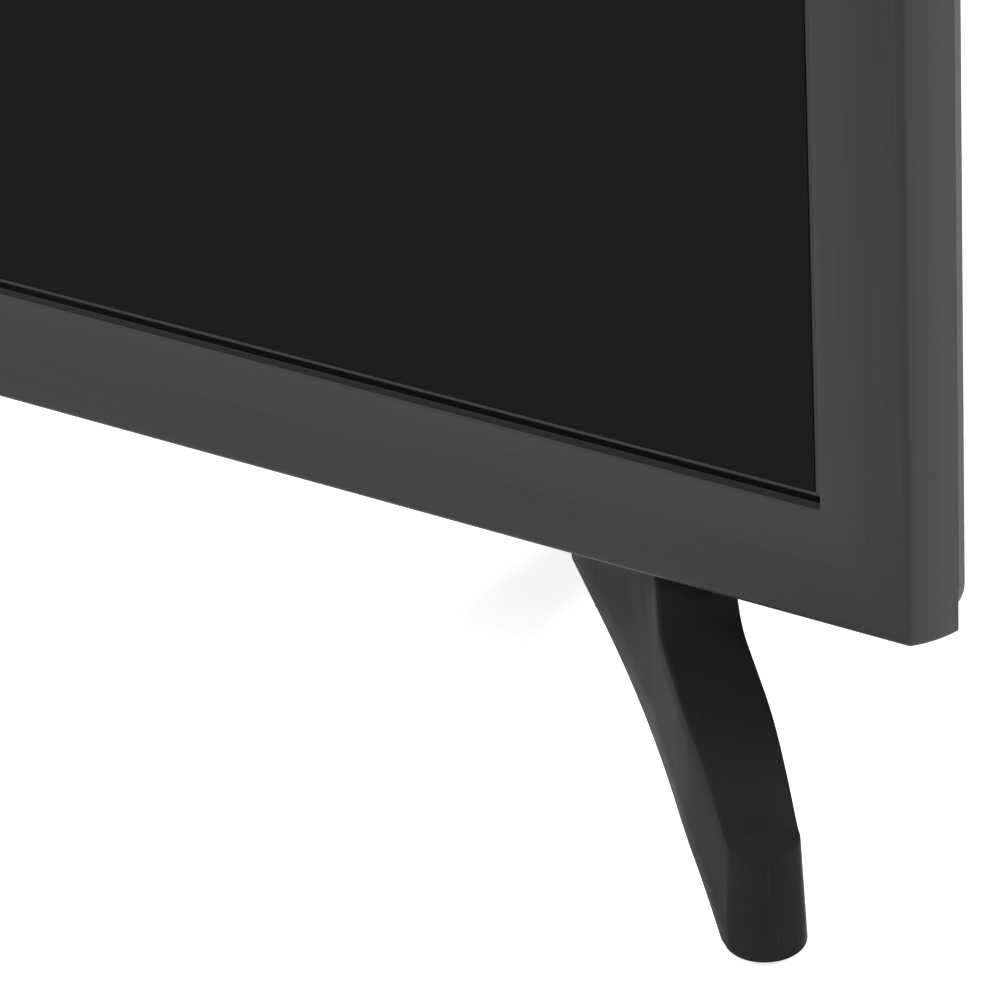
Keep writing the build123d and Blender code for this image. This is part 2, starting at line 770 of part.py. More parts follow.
def speaker_leads():
    """Leads from both boxes to the header on the main board."""
    top = header_z + header / 2
    near = [(speaker_in, lead_y, lead_z), (board_outer - header, lead_y, lead_z),
            (board_outer - header, main_face, lead_z)]
    low = back_y + (power_y - back_y) / 2
    far = [(-speaker_in, lead_y, lead_z), (-speaker_in + header, lead_y, lead_z),
           (-speaker_in + header, low, lead_z), (lead_run, low, lead_z),
           (lead_run, main_face + header / 2, lead_z), (lead_run, main_face + header / 2, top),
           (board_inner, main_face + header / 2, top)]
    return wire(near, lead_r), wire(far, lead_r)


save("speaker_boxes", *pair(speaker_box()))
save("speaker_cones", *pair(speaker_cone()))
save("speaker_leads", *speaker_leads())
save("board_headers", span((board_inner, board_inner + header), (main_face, main_face + header),
                           (header_z, header_z + header)))

# Infrared receiver behind the window
eye_board_w = 40.0
eye_board_h = 7.0
receiver_t = 2.0
receiver_w = 6.0
eye_board_y = face_t + eye_flange_t + receiver_t
save("infrared_board", slab(0, eye_z, eye_board_w, eye_board_h, (eye_board_y, eye_board_y + board_t))
     + slab(0, eye_z, receiver_w, eye_h, (face_t + eye_flange_t, eye_board_y)))

# Push buttons in the back of the cover
key_inset = 39.0             # edge of the cover to the row
key_z = 300.0                # middle of the row
key_pitch = 14.0
key_w = 12.0
key_h = 8.0
key_proud = 1.4
key_travel = 0.8
key_flange = 1.0
key_flange_t = 1.0
key_stem_r = 1.6
key_stem = 1.5
key_gap = 0.1
switch_w = 6.0
switch_h = 3.5
actuator_h = 0.8
key_names = ("power", "source", "menu", "channel_up", "channel_down", "volume_up", "volume_down")
key_x = cover_w / 2 - key_inset
key_back = thin_y - cover_t - key_gap
key_front = key_back - key_flange_t
switch_top = key_front - key_stem - key_travel - key_gap
key_board_y = switch_top - actuator_h - switch_h - board_t
key_rows = [key_z + key_pitch * (len(key_names) / 2 - i - 1 / 2) for i in range(len(key_names))]
key_span = (key_rows[-1] - key_pitch, key_rows[0] + key_pitch)
key_posts = [(key_x, z) for z in key_span]


def button(z):
    """Cap with a flange inside the cover and a stem that meets its switch."""
    cap = slab(key_x, z, key_w - 2 * fit, key_h - 2 * fit, (key_front, thin_y + key_proud))
    back = cap.faces().sort_by(Axis.Y)[-1]
    cap = fillet(back.edges(), key_proud / 2)
    flange = slab(key_x, z, key_w + 2 * key_flange, key_h + 2 * key_flange, (key_front, key_back))
    return cap + flange + post(key_x, z, key_stem_r, (key_front - key_stem, key_front))


def key_switch(z):
    """Tact switch: a square body and a round actuator."""
    start = key_board_y + board_t
    body = slab(key_x, z, switch_w, switch_w, (start, start + switch_h))
    return body + post(key_x, z, key_stem_r, (start + switch_h, switch_top))


key_ends = (key_span[0] - stud_inset, key_span[1] + stud_inset)
for name, z in zip(key_names, key_rows):
    save(f"{name}_button", button(z))
save("key_switches", *[key_switch(z) for z in key_rows])
save("key_board", board(key_x - key_w, key_x + key_w, *key_ends, key_board_y, key_posts))


def cover_block(grow, start, end):
    """Thin part of the rear cover: a lip, then slopes to the flat back."""
    def section(y, side, top, low):
        w = cover_w - 2 * side + 2 * grow
        h = cover_h - top - low + 2 * grow
        plane = face_at(y) * Pos(0, front_mid + (low - top) / 2)
        return plane * RectangleRounded(w, h, cover_corner + grow)
    return loft([section(start, 0, 0, 0), section(cover_y + lip_depth, 0, 0, 0),
                 section(end, shoulder, shoulder, bottom_shoulder)], ruled=True)


def bulge_block(grow, start, end):
    """Lower bulge: a wide band for the speakers under a narrower block for the boards."""
    w, n = speaker_half_w + grow, bulge_half_w + grow
    low, step, top = bulge_low - grow, speaker_top + grow, bulge_top + grow
    points = [(-w, low), (w, low), (w, step), (n, step), (n, top), (-n, top), (-n, step), (-w, step)]
    outline = make_face(Polyline(*points, close=True))
    outline = fillet(outline.vertices(), bulge_corner + grow)
    return Pos(0, start, 0) * Rot(X=90) * extrude(outline, -(end - start))


well_r = screw_head_r + fit + well_wall
vent_z = bulge_top - bulge_edge - vent_gap
top_vent_z = clearance + front_h - shoulder - 2 * vent_gap
vent_columns_x = shares(-bulge_half_w + vent_w, bulge_half_w - vent_w, vent_columns)
vent_spots = [(x, vent_z - i * vent_pitch) for x in vent_columns_x for i in range(vent_rows)]
vent_spots += [(x, top_vent_z - i * vent_pitch) for x in vent_columns_x for i in range(vent_rows // 2)]


def rear_cover():
    """Moulded shell with bulge, screw wells, windows, vents and button holes."""
    outer = cover_block(0, cover_y, thin_y)
    bulge = bulge_block(0, thin_y - cover_t, bulge_y)
    bulge = fillet(bulge.edges().group_by(Axis.Y)[-1], bulge_edge)
    body = outer + bulge
    body -= cover_block(-cover_t, cover_y - over, thin_y - cover_t)
    body -= bulge_block(-cover_t, thin_y - 2 * cover_t, bulge_y - cover_t)
    for x, z in rim_screws:
        body += post(x, z, well_r, (cover_y, thin_y)) & outer
        body -= post(x, z, screw_head_r + fit, (cover_y + well_floor, thin_y + over))
        body -= post(x, z, screw_r + screw_gap, (cover_y - over, thin_y))
    for x, z in key_posts:
        body += post(x, z, stud_r, (key_board_y + board_t, thin_y - cover_t / 2))
        body -= post(x, z, screw_r + screw_gap, (key_board_y, thin_y - cover_t))
    wall = (thin_y - cover_t - over, thin_y + over)
    holes = [slab(key_x, z, key_w, key_h, wall) for z in key_rows]
    holes += [post(x, z, mount_nut_r + fit, wall) for x, z in mount_places]
    holes += [slab(x, z, vent_w, vent_h, (thin_y - cover_t - over, bulge_y + over)) for x, z in vent_spots]
    return cut(body, *holes, *cover_windows(), *grille(), *foot_slots())


def cover_windows():
    """Cutters for the socket windows and the mains inlet's mouth."""
    lower_wall = (bulge_low - over, bulge_low + cover_t + over)
    side_wall = (bulge_half_w - cover_t - over, bulge_half_w + over)
    w, h, _ = inlet
    mouth = span((inlet_x - w / 2 + inlet_wall, inlet_x + w / 2 - inlet_wall),
                 (main_face + inlet_wall, main_face + h - inlet_wall), lower_wall)
    return [span(*lower_window, lower_wall), span(side_wall, *side_window), mouth]


def grille():
    """Cutters for the speaker slots in the lower wall."""
    places = [cone_x + grille_pitch * (i - (grille_count - 1) / 2) for i in range(grille_count)]
    return [span((side * x - grille_w / 2, side * x + grille_w / 2),
                 (cone_y - cone_half_d, cone_y + cone_half_d),
                 (bulge_low - over, bulge_low + cover_t + over)) for x in places for side in (-1, 1)]


foot_screws = [(side * tenon_x, z) for side in (-1, 1) for z in shares(sleeve_low, sleeve_top, 2)]


def foot_slots():
    """Cutters for the tenons from below and for the foot screws from behind."""
    slot = span((tenon_x - tenon_w / 2 - fit, tenon_x + tenon_w / 2 + fit),
                (tenon_y - tenon_d / 2 - fit, tenon_y + tenon_d / 2 + fit), (0, sleeve_low))
    holes = [post(x, z, foot_screw_r + screw_gap, (tenon_y, thin_y + over)) for x, z in foot_screws]
    return pair(slot) + holes


save("rear_cover", rear_cover())

# Screws and the wall mount's nuts
mount_flange_r = 10.0
mount_flange_t = 1.2
thread_len = 12.0


def screw(x, z, y, r, length, head_r, head_h, facing=1):
    """Screw whose head rests on the plane y and whose shank runs away from the side it faces."""
    head = sorted((y, y + facing * head_h))
    shank = sorted((y, y - facing * length))
    return post(x, z, head_r, head) + post(x, z, r, shank)


def small_screws(places, y, length, facing=1):
    """Row of the set's small screws, all at one depth."""
    return [screw(x, z, y, screw_r, length, screw_head_r, screw_head_h, facing) for x, z in places]


def mount_nut(x, z):
    """Threaded post with a flange, riveted to the back plate."""
    body = post(x, z, mount_nut_r, (back_y, thin_y))
    body += post(x, z, mount_flange_r, (back_y, back_y + mount_flange_t))
    return body - post(x, z, mount_thread_r, (thin_y - thread_len, thin_y + over))


board_screws = small_screws(main_screws, main_face, board_screw_len)
board_screws += small_screws(power_screws, power_face, board_screw_len)
board_screws += small_screws(timing_screws, source_y, board_t + plate_t)
board_screws += small_screws(tongue_screws, back_y + sleeve_t, sleeve_t + plate_t)
board_screws += small_screws(key_posts, key_board_y, board_screw_len, facing=-1)
save("cover_screws", *small_screws(rim_screws, cover_y + well_floor, cover_screw_len))
save("board_screws", *board_screws)
save("mount_nuts", *[mount_nut(x, z) for x, z in mount_places])

# Brackets, feet and pads
foot_top = clearance + bottom_shoulder
side_plane = Plane(origin=(toe_x, -toe_ahead, 0), x_dir=(-splay_sin, splay_cos, 0),
                   z_dir=(splay_cos, splay_sin, 0))
rear_plane = Plane(origin=(hub_x, hub_y + rear_len, 0), x_dir=(0, -1, 0), z_dir=(-1, 0, 0))


def foot_bracket():
    """Steel sleeve round the tenon with a tongue on the back plate."""
    low, back = sleeve_low + fit, back_y + 2 * sleeve_t + tenon_d + 2 * fit
    half = tenon_w / 2 + fit + sleeve_t
    body = span((tenon_x - half, tenon_x + half), (back_y, back), (low, sleeve_top + sleeve_t))
    body += slab(tenon_x, sleeve_top + tongue_h / 2, tongue_w, tongue_h, (back_y, back_y + sleeve_t))
    pocket = span((tenon_x - tenon_w / 2 - fit, tenon_x + tenon_w / 2 + fit),
                  (back_y + sleeve_t, back - sleeve_t), (low - over, sleeve_top))
    holes = [post(x, z, foot_screw_r + screw_gap, (tenon_y, back + over)) for x, z in foot_screws if x > 0]
    holes += [post(x, z, screw_r + screw_gap, (back_y - over, back)) for x, z in tongue_screws if x > 0]
    return cut(body, pocket, *holes)


def arch(length, rise):
    """Underside of a leg, from the flat under its pad up to the hub."""
    run = length - flat_run
    points = [(flat_run, sole_gap)]
    points += [(flat_run + along * run, sole_gap + up * rise) for along, up in arch_shares]
    points.append((length, sole_gap + rise))
    return Spline(*points, tangents=[(1, arch_slope), (1, 0)])


def side_outline(arch_run, end, step, top):
    """Outline of a leg seen from the side, from its toe to past the hub."""
    low, high = sole_gap + arch_h + step, hub_h - step
    points = [(arch_run, low), (end, low), (end, high), *top, (ramp_start, ramp_h), (nose_run, nose_h),
              (0, lip_h), (-toe_r, lip_h), (-toe_r, sole_gap), (flat_run, sole_gap)]
    return make_face([arch(arch_run, arch_h + step), *Polyline(*points).edges()])


def leg_plan(length, half):
    """Outline of a leg seen from above: a round toe, then wider up to the hub."""
    sides = [Polyline((0, side * toe_r), (thicken_run, side * half), (length, side * half))
             for side in (-1, 1)]
    toe = ThreePointArc((0, -toe_r), (-toe_r, 0), (0, toe_r))
    end = ThreePointArc((length, -half), (length + half, 0), (length, half))
    return make_face([*sides[0].edges(), *sides[1].edges(), toe, end])


def foot():
    """Front leg with its neck and tenon, and the rear leg behind the hub."""
    rise = neck_run + neck_lean
    front_top = [(rise + neck_len, hub_h), (rise + neck_len, foot_top), (rise, foot_top), (neck_run, neck_h)]
    rear_top = [(rear_len - leg_half, hub_h - rear_step)]
    front_leg = (side_plane, leg_len, arch_len, leg_half, 0, front_top)
    rear_leg = (rear_plane, rear_len, rear_len, rear_half, rear_step, rear_top)
    legs = []
    for plane, length, arch_run, half, step, top in (front_leg, rear_leg):
        floor = Plane(origin=plane.origin, x_dir=plane.x_dir, z_dir=(0, 0, 1))
        blade = extrude(floor * leg_plan(length, half), foot_top, taper=draft)
        outline = side_outline(arch_run, length + half, step, top)
        legs.append(blade & extrude(plane * outline, leg_half + over, both=True))
    body = joined(*legs)
    body = cut(body, flared_block(fit, -over, bezel_depth + seam), cover_block(fit, cover_y - seam, thin_y))
    body += span((tenon_x - tenon_w / 2, tenon_x + tenon_w / 2),
                 (tenon_y - tenon_d / 2, tenon_y + tenon_d / 2), (hub_h, sleeve_top - fit))
    holes = [post(x, z, foot_screw_r + screw_gap, (thin_y - foot_screw_len - fit, thin_y))
             for x, z in foot_screws if x > 0]
    recesses = [upright(x, y, pad_r + tight, (0, sole_gap + pad_depth)) for x, y in pad_places]
    return cut(body, *holes, *recesses)


pad_places = [(toe_x + pad_ahead * splay_sin, -toe_ahead - pad_ahead * splay_cos),
              (hub_x, hub_y + rear_len + pad_ahead)]
foot_pads = [upright(x, y, pad_r, (0, sole_gap + pad_depth)) for x, y in pad_places]
right_foot = foot()
save("foot_brackets", *pair(foot_bracket()))
save("foot_right", right_foot)
save("foot_left", mirrored(right_foot))
save("foot_pads", *foot_pads, *[mirrored(pad) for pad in foot_pads])
save("foot_screws", *[screw(x, z, thin_y, foot_screw_r, foot_screw_len, foot_screw_head_r, foot_screw_head_h)
                      for x, z in foot_screws])
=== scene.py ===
"""Looks of the flat screen television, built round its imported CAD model.

The bezel, the rear cover and the feet are new surfaces. Every other node keeps its shape and
gets a finish made of nodes. All lengths are metres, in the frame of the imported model.
"""
from math import cos, pi, radians, sin, tan

import bmesh
import bpy
import numpy as np
from bpy.props import FloatProperty, FloatVectorProperty, PointerProperty
from mathutils import Matrix, Vector


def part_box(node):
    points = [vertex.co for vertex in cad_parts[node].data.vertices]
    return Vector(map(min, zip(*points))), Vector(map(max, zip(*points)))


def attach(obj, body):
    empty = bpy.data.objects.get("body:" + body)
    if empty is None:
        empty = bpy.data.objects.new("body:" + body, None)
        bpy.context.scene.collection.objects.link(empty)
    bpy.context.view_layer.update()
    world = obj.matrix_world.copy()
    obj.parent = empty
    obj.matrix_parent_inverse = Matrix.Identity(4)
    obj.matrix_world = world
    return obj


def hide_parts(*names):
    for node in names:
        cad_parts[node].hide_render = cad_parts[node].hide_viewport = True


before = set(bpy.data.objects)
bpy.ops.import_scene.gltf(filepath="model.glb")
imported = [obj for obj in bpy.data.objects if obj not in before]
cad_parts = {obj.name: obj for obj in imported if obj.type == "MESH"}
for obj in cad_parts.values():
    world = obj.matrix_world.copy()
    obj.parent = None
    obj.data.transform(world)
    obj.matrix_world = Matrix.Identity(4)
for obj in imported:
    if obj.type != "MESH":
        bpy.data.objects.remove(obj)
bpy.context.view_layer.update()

bl_info = {
    "name": "Flat Screen Television Looks",
    "version": (1, 0, 0),
    "blender": (4, 5, 0),
    "location": "3D View > Sidebar > Television",
    "description": "Builds the outer surfaces and finishes of a packed television, and its stage",
    "category": "Object",
}

MM = 0.001
BEZEL_LOW, BEZEL_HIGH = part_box("front_bezel")
PICTURE_LOW, PICTURE_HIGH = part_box("front_polariser")
EYE_LOW, EYE_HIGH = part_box("infrared_window")
FOOT_LOW, FOOT_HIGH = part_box("foot_right")

# The wall's lean in shares of the flare: the first times t, less the second times t squared.
LEAN, STRAIGHTENING = 1.42, 0.42
# Power of the run that shapes the arch under a foot.
ARCH_POWER = 2.85
# Top of the front leg in millimetres: the ramp from the toe's centre, over its level top, and the neck.
NOSE = ((0.0, 0.0), (6.5, 5.4), (12.8, 9.3))
NECK = ((36.5, 40.4), (40.9, 56.0), (80.9, 56.0), (80.9, 43.0))
HUB_HEIGHT = 42.2 * MM
# Reach over which the corners of that line are rounded, near a toe and elsewhere.
NOSE_REACH, NECK_REACH = 0.8 * MM, 3.2 * MM
# The crown near a nose: where it is highest, and the width of its bell.
CROWN_PLACE, CROWN_WIDTH = 2.5 * MM, 4 * MM
# How far the infrared slot lies inside its window's edges, and the radius of its edges.
SLOT_INSET, SLOT_EDGE = 1.4, 0.2 * MM


def length(name, description, default):
    """Property that holds one length."""
    return FloatProperty(name=name, description=description, default=default, min=0.0, unit="LENGTH")


def angle(name, description, default):
    """Property that holds one angle, given here in degrees."""
    return FloatProperty(name=name, description=description, default=radians(default), subtype="ANGLE",
                         unit="ROTATION")


def colour(name, description, default):
    """Property that holds one colour."""
    return FloatVectorProperty(name=name, description=description, default=default, subtype="COLOR",
                               min=0.0, max=1.0)


def power(name, description, default):
    """Property that holds the power of one light."""
    return FloatProperty(name=name, description=description, default=default, min=0.0, unit="POWER")


class BezelSizes(bpy.types.PropertyGroup):
    """Sizes of the bezel's surface."""
    rim: length("Black rim", "Black edge between the picture and the bezel", 2.0 * MM)
    flare: length("Flare", "How far the walls lean outwards at the back", 2.85 * MM)
    face: length("Face", "Thickness of the front face", 1.9 * MM)
    wall: length("Wall", "Thickness of the side walls", 2.4 * MM)
    crown: length("Crown", "How far the middle of the face stands before its edges", 0.16 * MM)
    inner_edge: length("Inner edge", "Radius of the edge round the screen", 0.35 * MM)
    outer_edge: length("Outer edge", "Radius of the edge between the face and the walls", 0.9 * MM)
    back_edge: length("Back edge", "Radius of the walls' rear edge", 0.35 * MM)
    inner_corner: length("Window corner", "Corner radius of the window", 0.5 * MM)
    outer_corner: length("Outer corner", "Corner radius of the outline", 0.7 * MM)


class FootSizes(bpy.types.PropertyGroup):
    """Sizes of one foot's surface."""
    splay: angle("Splay", "Turn of the front leg outwards", 45.5)
    draft: angle("Draft", "Lean of the flanks", 2.2)
    front: length("Front leg", "From the toe's centre to the hub", 104.0 * MM)
    rear: length("Rear leg", "From the hub to the rear toe's centre", 85.9 * MM)
    bend: length("Bend", "Radius of the middle line at the hub", 10.0 * MM)
    knee: length("Knee", "The same radius for the outer flank", 1.0 * MM)
    toe: length("Toe", "Radius of the toe at the floor", 7.25 * MM)
    half: length("Half thickness", "Half the front leg's thickness", 8.8 * MM)
    rear_half: length("Rear half thickness", "Half the rear leg's thickness", 7.6 * MM)
    thicken: length("Thickening", "Run over which a leg reaches its thickness", 20.0 * MM)
    lip: length("Lip", "Height of the toe's level top", 22.0 * MM)
    crown: length("Crown", "How far the middle of the nose stands over its edges", 1.5 * MM)
    sole: length("Sole", "Height of the underside over the floor", 0.6 * MM)
    arch: length("Arch", "Height of the arch under the hub", 19.5 * MM)
    arch_run: length("Arch run", "From the front toe's centre to the top of its arch", 84.0 * MM)
    flat: length("Flat", "Level run under the toe", 2.0 * MM)
    edge: length("Edge", "Radius of the upper edges", 0.7 * MM)
    low_edge: length("Lower edge", "Radius of the lower edges", 0.5 * MM)
    gap: length("Gap", "Gap under the set", 0.3 * MM)


class Colours(bpy.types.PropertyGroup):
    """Base colours of the outer finishes."""
    bezel: colour("Bezel", "Satin dark grey plastic", (0.034, 0.034, 0.035))
    cover: colour("Cover", "Textured dark grey plastic", (0.024, 0.024, 0.025))
    foot: colour("Feet", "Black plastic", (0.017, 0.017, 0.0175))
    screen: colour("Screen", "Anti-glare film", (0.0035, 0.0033, 0.0048))
    rim: colour("Rim", "Printed black edge of the glass", (0.004, 0.004, 0.005))
    floor: colour("Floor", "Pale floor", (0.9, 0.9, 0.9))
    air: colour("Surroundings", "Light from all round", (0.98, 0.99, 1.0))


class StageSizes(bpy.types.PropertyGroup):
    """Lights, floor and lens of the stage."""
    floor: length("Floor", "Half the floor's side", 6.0)
    lens: FloatProperty(name="Lens", description="Focal length of the camera, in millimetres",
                        default=190.317, min=1.0)
    left: power("Left light", "Soft box above the front left", 45.0)
    right: power("Right light", "Soft box above the right", 38.0)
    rear: power("Rear light", "Low soft light at the right rear", 9.0)
    glow: FloatProperty(name="Glow", description="Light given off by the floor, as of a lit table",
                        default=0.8, min=0.0)
    air: FloatProperty(name="Air", description="Strength of the surroundings", default=0.15, min=0.0)


class TelevisionLooks(bpy.types.PropertyGroup):
    """All that can be changed."""
    bezel: PointerProperty(type=BezelSizes)
    foot: PointerProperty(type=FootSizes)
    colours: PointerProperty(type=Colours)
    stage: PointerProperty(type=StageSizes)


# Surfaces


def grid_faces(rows, columns, close_rows=False, close_columns=False):
    """Quads between neighbours of a grid that is numbered row by row."""
    r0, c0 = np.meshgrid(np.arange(rows - (not close_rows)), np.arange(columns - (not close_columns)),
                         indexing="ij")
    r1, c1 = (r0 + 1) % rows, (c0 + 1) % columns
    return np.stack([r0 * columns + c0, r0 * columns + c1, r1 * columns + c1, r1 * columns + c0],
                    -1).reshape(-1, 4)


def running(points, axis):
    """Distance along a grid's rows or columns: the running sum of the steps' mean lengths."""
    steps = np.linalg.norm(np.diff(points, axis=axis), axis=-1).mean(axis=1 - axis)
    return np.concatenate([[0.0], np.cumsum(steps)])


def welded(mesh):
    """Join points that meet, drop faces with no area, and turn a closed skin outwards."""
    work = bmesh.new()
    work.from_mesh(mesh)
    bmesh.ops.remove_doubles(work, verts=work.verts, dist=1e-6)
    bmesh.ops.dissolve_degenerate(work, dist=1e-7, edges=work.edges)
    if work.calc_volume(signed=True) < 0:
        bmesh.ops.reverse_faces(work, faces=work.faces)
    work.to_mesh(mesh)
    work.free()


def new_piece(name, points, faces, material, corner_map=None, sharp=40.0):
    """Object from an array of points and an array of quads, with an optional map of its surface."""
    mesh = bpy.data.meshes.new(name)
    mesh.from_pydata(points.reshape(-1, 3).tolist(), [], faces.tolist())
    if corner_map is not None:
        mesh.uv_layers.new(name="along").uv.foreach_set("vector", corner_map.astype(np.float32).ravel())
    welded(mesh)
    return finished(name, mesh, material, sharp)


def finished(name, mesh, material, sharp):
    """Object for a mesh, smooth but for its sharp edges, with one finish."""
    mesh.shade_smooth()
    mesh.set_sharp_from_angle(angle=radians(sharp))
    mesh.materials.clear()
    mesh.materials.append(material)
    piece = bpy.data.objects.new(name, mesh)
    bpy.context.scene.collection.objects.link(piece)
    return piece


def carved(piece, points):
    """Cut a closed block of points out of a piece."""
    mesh = bpy.data.meshes.new("cutter")
    mesh.from_pydata(points.reshape(-1, 3).tolist(), [],
                     grid_faces(*points.shape[:2], close_columns=True).tolist())
    welded(mesh)
    cutter = bpy.data.objects.new("cutter", mesh)
    bpy.context.scene.collection.objects.link(cutter)
    cut = piece.modifiers.new("cut", "BOOLEAN")
    cut.operation, cut.solver, cut.object = "DIFFERENCE", "EXACT", cutter
    shape = bpy.data.meshes.new_from_object(piece.evaluated_get(bpy.context.evaluated_depsgraph_get()))
    piece.modifiers.clear()
    piece.data = shape
    bpy.data.objects.remove(cutter)


def frame_points(rows, window, outline, steps=7, ease=1.5 * MM):
    """Closed profile carried round a rounded rectangle.

    A row of the profile is a share between the window and the outline, an outward offset, a depth
    and a corner radius. Each corner is a quarter circle, with one more point on the straights
    beside it, so that the long faces shade flat.
    """
    share, offset, depth, radius = np.asarray(rows, float).T[:, :, None]
    half, low, high = [a + (b - a) * share + grow for a, b, grow in
                       zip(window, outline, (offset, -offset, offset))]
    turn = np.concatenate([[0.0], np.linspace(0.0, pi / 2, steps), [pi / 2]])
    slide = np.tile(np.concatenate([[-ease], np.zeros(steps), [ease]]), 4)
    turn = (np.arange(4)[:, None] * pi / 2 + turn).ravel()
    right = np.repeat([1, -1, -1, 1], steps + 2)
    upper = np.repeat([True, True, False, False], steps + 2)
    x = right * (half - radius) + radius * np.cos(turn) - slide * np.sin(turn)
    z = np.where(upper, high - radius, low + radius) + radius * np.sin(turn) + slide * np.cos(turn)
    return np.stack([x, np.broadcast_to(depth, x.shape), z], -1)


def surface_map(points, close_rows, close_columns):
    """Map of a grid in metres: distance along its columns, then distance along its rows."""
    rows, columns = points.shape[:2]
    closed = np.concatenate([points, points[:1]]) if close_rows else points
    closed = np.concatenate([closed, closed[:, :1]], axis=1) if close_columns else closed
    across, along = running(closed, 0), running(closed, 1)
    r0, c0 = np.meshgrid(np.arange(rows - (not close_rows)), np.arange(columns - (not close_columns)),
                         indexing="ij")
    corners = ((r0, c0), (r0, c0 + 1), (r0 + 1, c0 + 1), (r0 + 1, c0))
    return np.stack([np.stack([along[c], across[r]], -1) for r, c in corners], 2).reshape(-1, 2)


def arc_rows(centre, radius, start, end, count):
    """Points of an arc: the centre plus the radius times the cosine and sine of each angle."""
    t = np.radians(np.linspace(start, end, count))
    return np.stack([centre[0] + radius * np.cos(t), centre[1] + radius * np.sin(t)], -1)


def bezel_profile(sizes, depth):
    """Section of the bezel as share, offset, depth and corner radius.

    It runs from the face's underside up the window's edge, over a small radius to the face, over
    the outer edge to a wall that leans outwards and straightens, and back inside the wall. The
    face falls back by the crown times the square of the distance from its middle, counted in half
    widths. The lean is LEAN t less STRAIGHTENING t squared of the flare, t being the share of the depth.
    """
    inner, outer, back = sizes.inner_edge, sizes.outer_edge, sizes.back_edge
    front = BEZEL_LOW.y
    level = front + sizes.crown
    rows = [(0, 0, front + sizes.face, sizes.inner_corner)]
    for o, y in arc_rows((inner, level + inner), inner, 180, 265, 6):
        rows.append((0, o, y, sizes.inner_corner + o))
    for share in np.linspace(0.03, 0.93, 10):
        rows.append((share, 0, front + sizes.crown * (2 * share - 1) ** 2, sizes.outer_corner))
    lean = LEAN * sizes.flare / depth
    for o, y in arc_rows((-outer, level + outer), outer, 275, 350, 8):
        rows.append((1, o + lean * (y - front), y, sizes.outer_corner))
    for share in np.linspace(0.2, 1 - back / depth, 10):
        rows.append((1, sizes.flare * (LEAN * share - STRAIGHTENING * share ** 2), front + depth * share,
                     sizes.outer_corner))
    for o, y in arc_rows((sizes.flare - back, front + depth - back), back, 20, 90, 5):
        rows.append((1, o, y, sizes.outer_corner))
    inside = [(sizes.flare - sizes.wall, front + depth), (-sizes.wall, front + 2 * sizes.face),
              (-sizes.wall, front + sizes.face)]
    rows += [(1, o, y, sizes.outer_corner) for o, y in inside]
    return rows


def block_points(low, high, edge, steps=4):
    """Block with round upright edges: rounded rectangles stacked up, drawn in at both ends."""
    t = np.linspace(0, pi / 2, steps)
    inset = np.concatenate([edge * (1 - np.sin(t)), edge * (1 - np.cos(t))])
    height = np.concatenate([low[2] + edge * (1 - np.cos(t)), high[2] - edge * (1 - np.sin(t))])
    half = (np.array(high[:2]) - low[:2]) / 2
    middle = (np.array(high[:2]) + low[:2]) / 2
    a = (np.arange(4)[:, None] * pi / 2 + t).ravel()
    side = np.stack([np.repeat([1, -1, -1, 1], steps), np.repeat([1, 1, -1, -1], steps)], -1)
    ring = side * (half - edge) + edge * np.stack([np.cos(a), np.sin(a)], -1)
    grow = (half - inset[:, None]) / half
    xy = middle + ring * grow[:, None, :]
    skin = np.concatenate([xy, np.broadcast_to(height[:, None, None], (*xy.shape[:2], 1))], -1)
    caps = [np.broadcast_to((*middle, z), (1, skin.shape[1], 3)) for z in (low[2], high[2])]
    return np.concatenate([caps[0], skin, caps[1]])


def unit(vectors):
    """Vectors scaled to length one."""
    return vectors / np.maximum(np.linalg.norm(vectors, axis=-1, keepdims=True), 1e-12)


def underside(y):
    """Height of the set's underside at a depth: the bezel's flared wall, the lip, the slope."""
    front = BEZEL_LOW.y
    stations = front + MM * np.array([-1.3, -1.2, 0.0, 4.6, 8.7, 12.6, 13.0, 15.2, 38.0])
    heights = MM * np.array([80.0, 52.0, 52.0, 50.65, 49.75, 49.15, 49.45, 49.45, 53.45])
    return np.interp(y, stations, heights)


def softened(points, reach, step=0.4 * MM):
    """Polyline resampled at even steps, then averaged over a window, which rounds its corners."""
    run = np.concatenate([[0.0], np.cumsum(np.linalg.norm(np.diff(points, axis=0), axis=1))])
    even = np.arange(0.0, run[-1] + step, step)
    line = np.stack([np.interp(even, run, points[:, i]) for i in range(2)], -1)
    window = 2 * int(reach / step) + 1
    padded = np.pad(line, ((window // 2, window // 2), (0, 0)), mode="reflect", reflect_type="odd")
    kernel = np.ones(window) / window
    return np.stack([np.convolve(padded[:, i], kernel, "valid") for i in range(2)], -1)


def edge_rows(ridge, wall, top, radius, steps=5):
    """Round edge between two surfaces along their shared line.

    The two directions across the line lie in the surfaces: each is the cross product of a normal
    and the line's tangent, turned to point away from the other surface's outside.
    """
    along = unit(np.gradient(ridge, axis=0))
    down = unit(np.cross(wall, along))
    down *= -np.sign(np.sum(down * top, -1, keepdims=True))
    inward = unit(np.cross(top, along))
    inward *= -np.sign(np.sum(inward * wall, -1, keepdims=True))
    a = np.linspace(0, pi / 2, steps)[:, None, None]
    return ridge + radius * ((1 - np.sin(a)) * down + (1 - np.cos(a)) * inward)


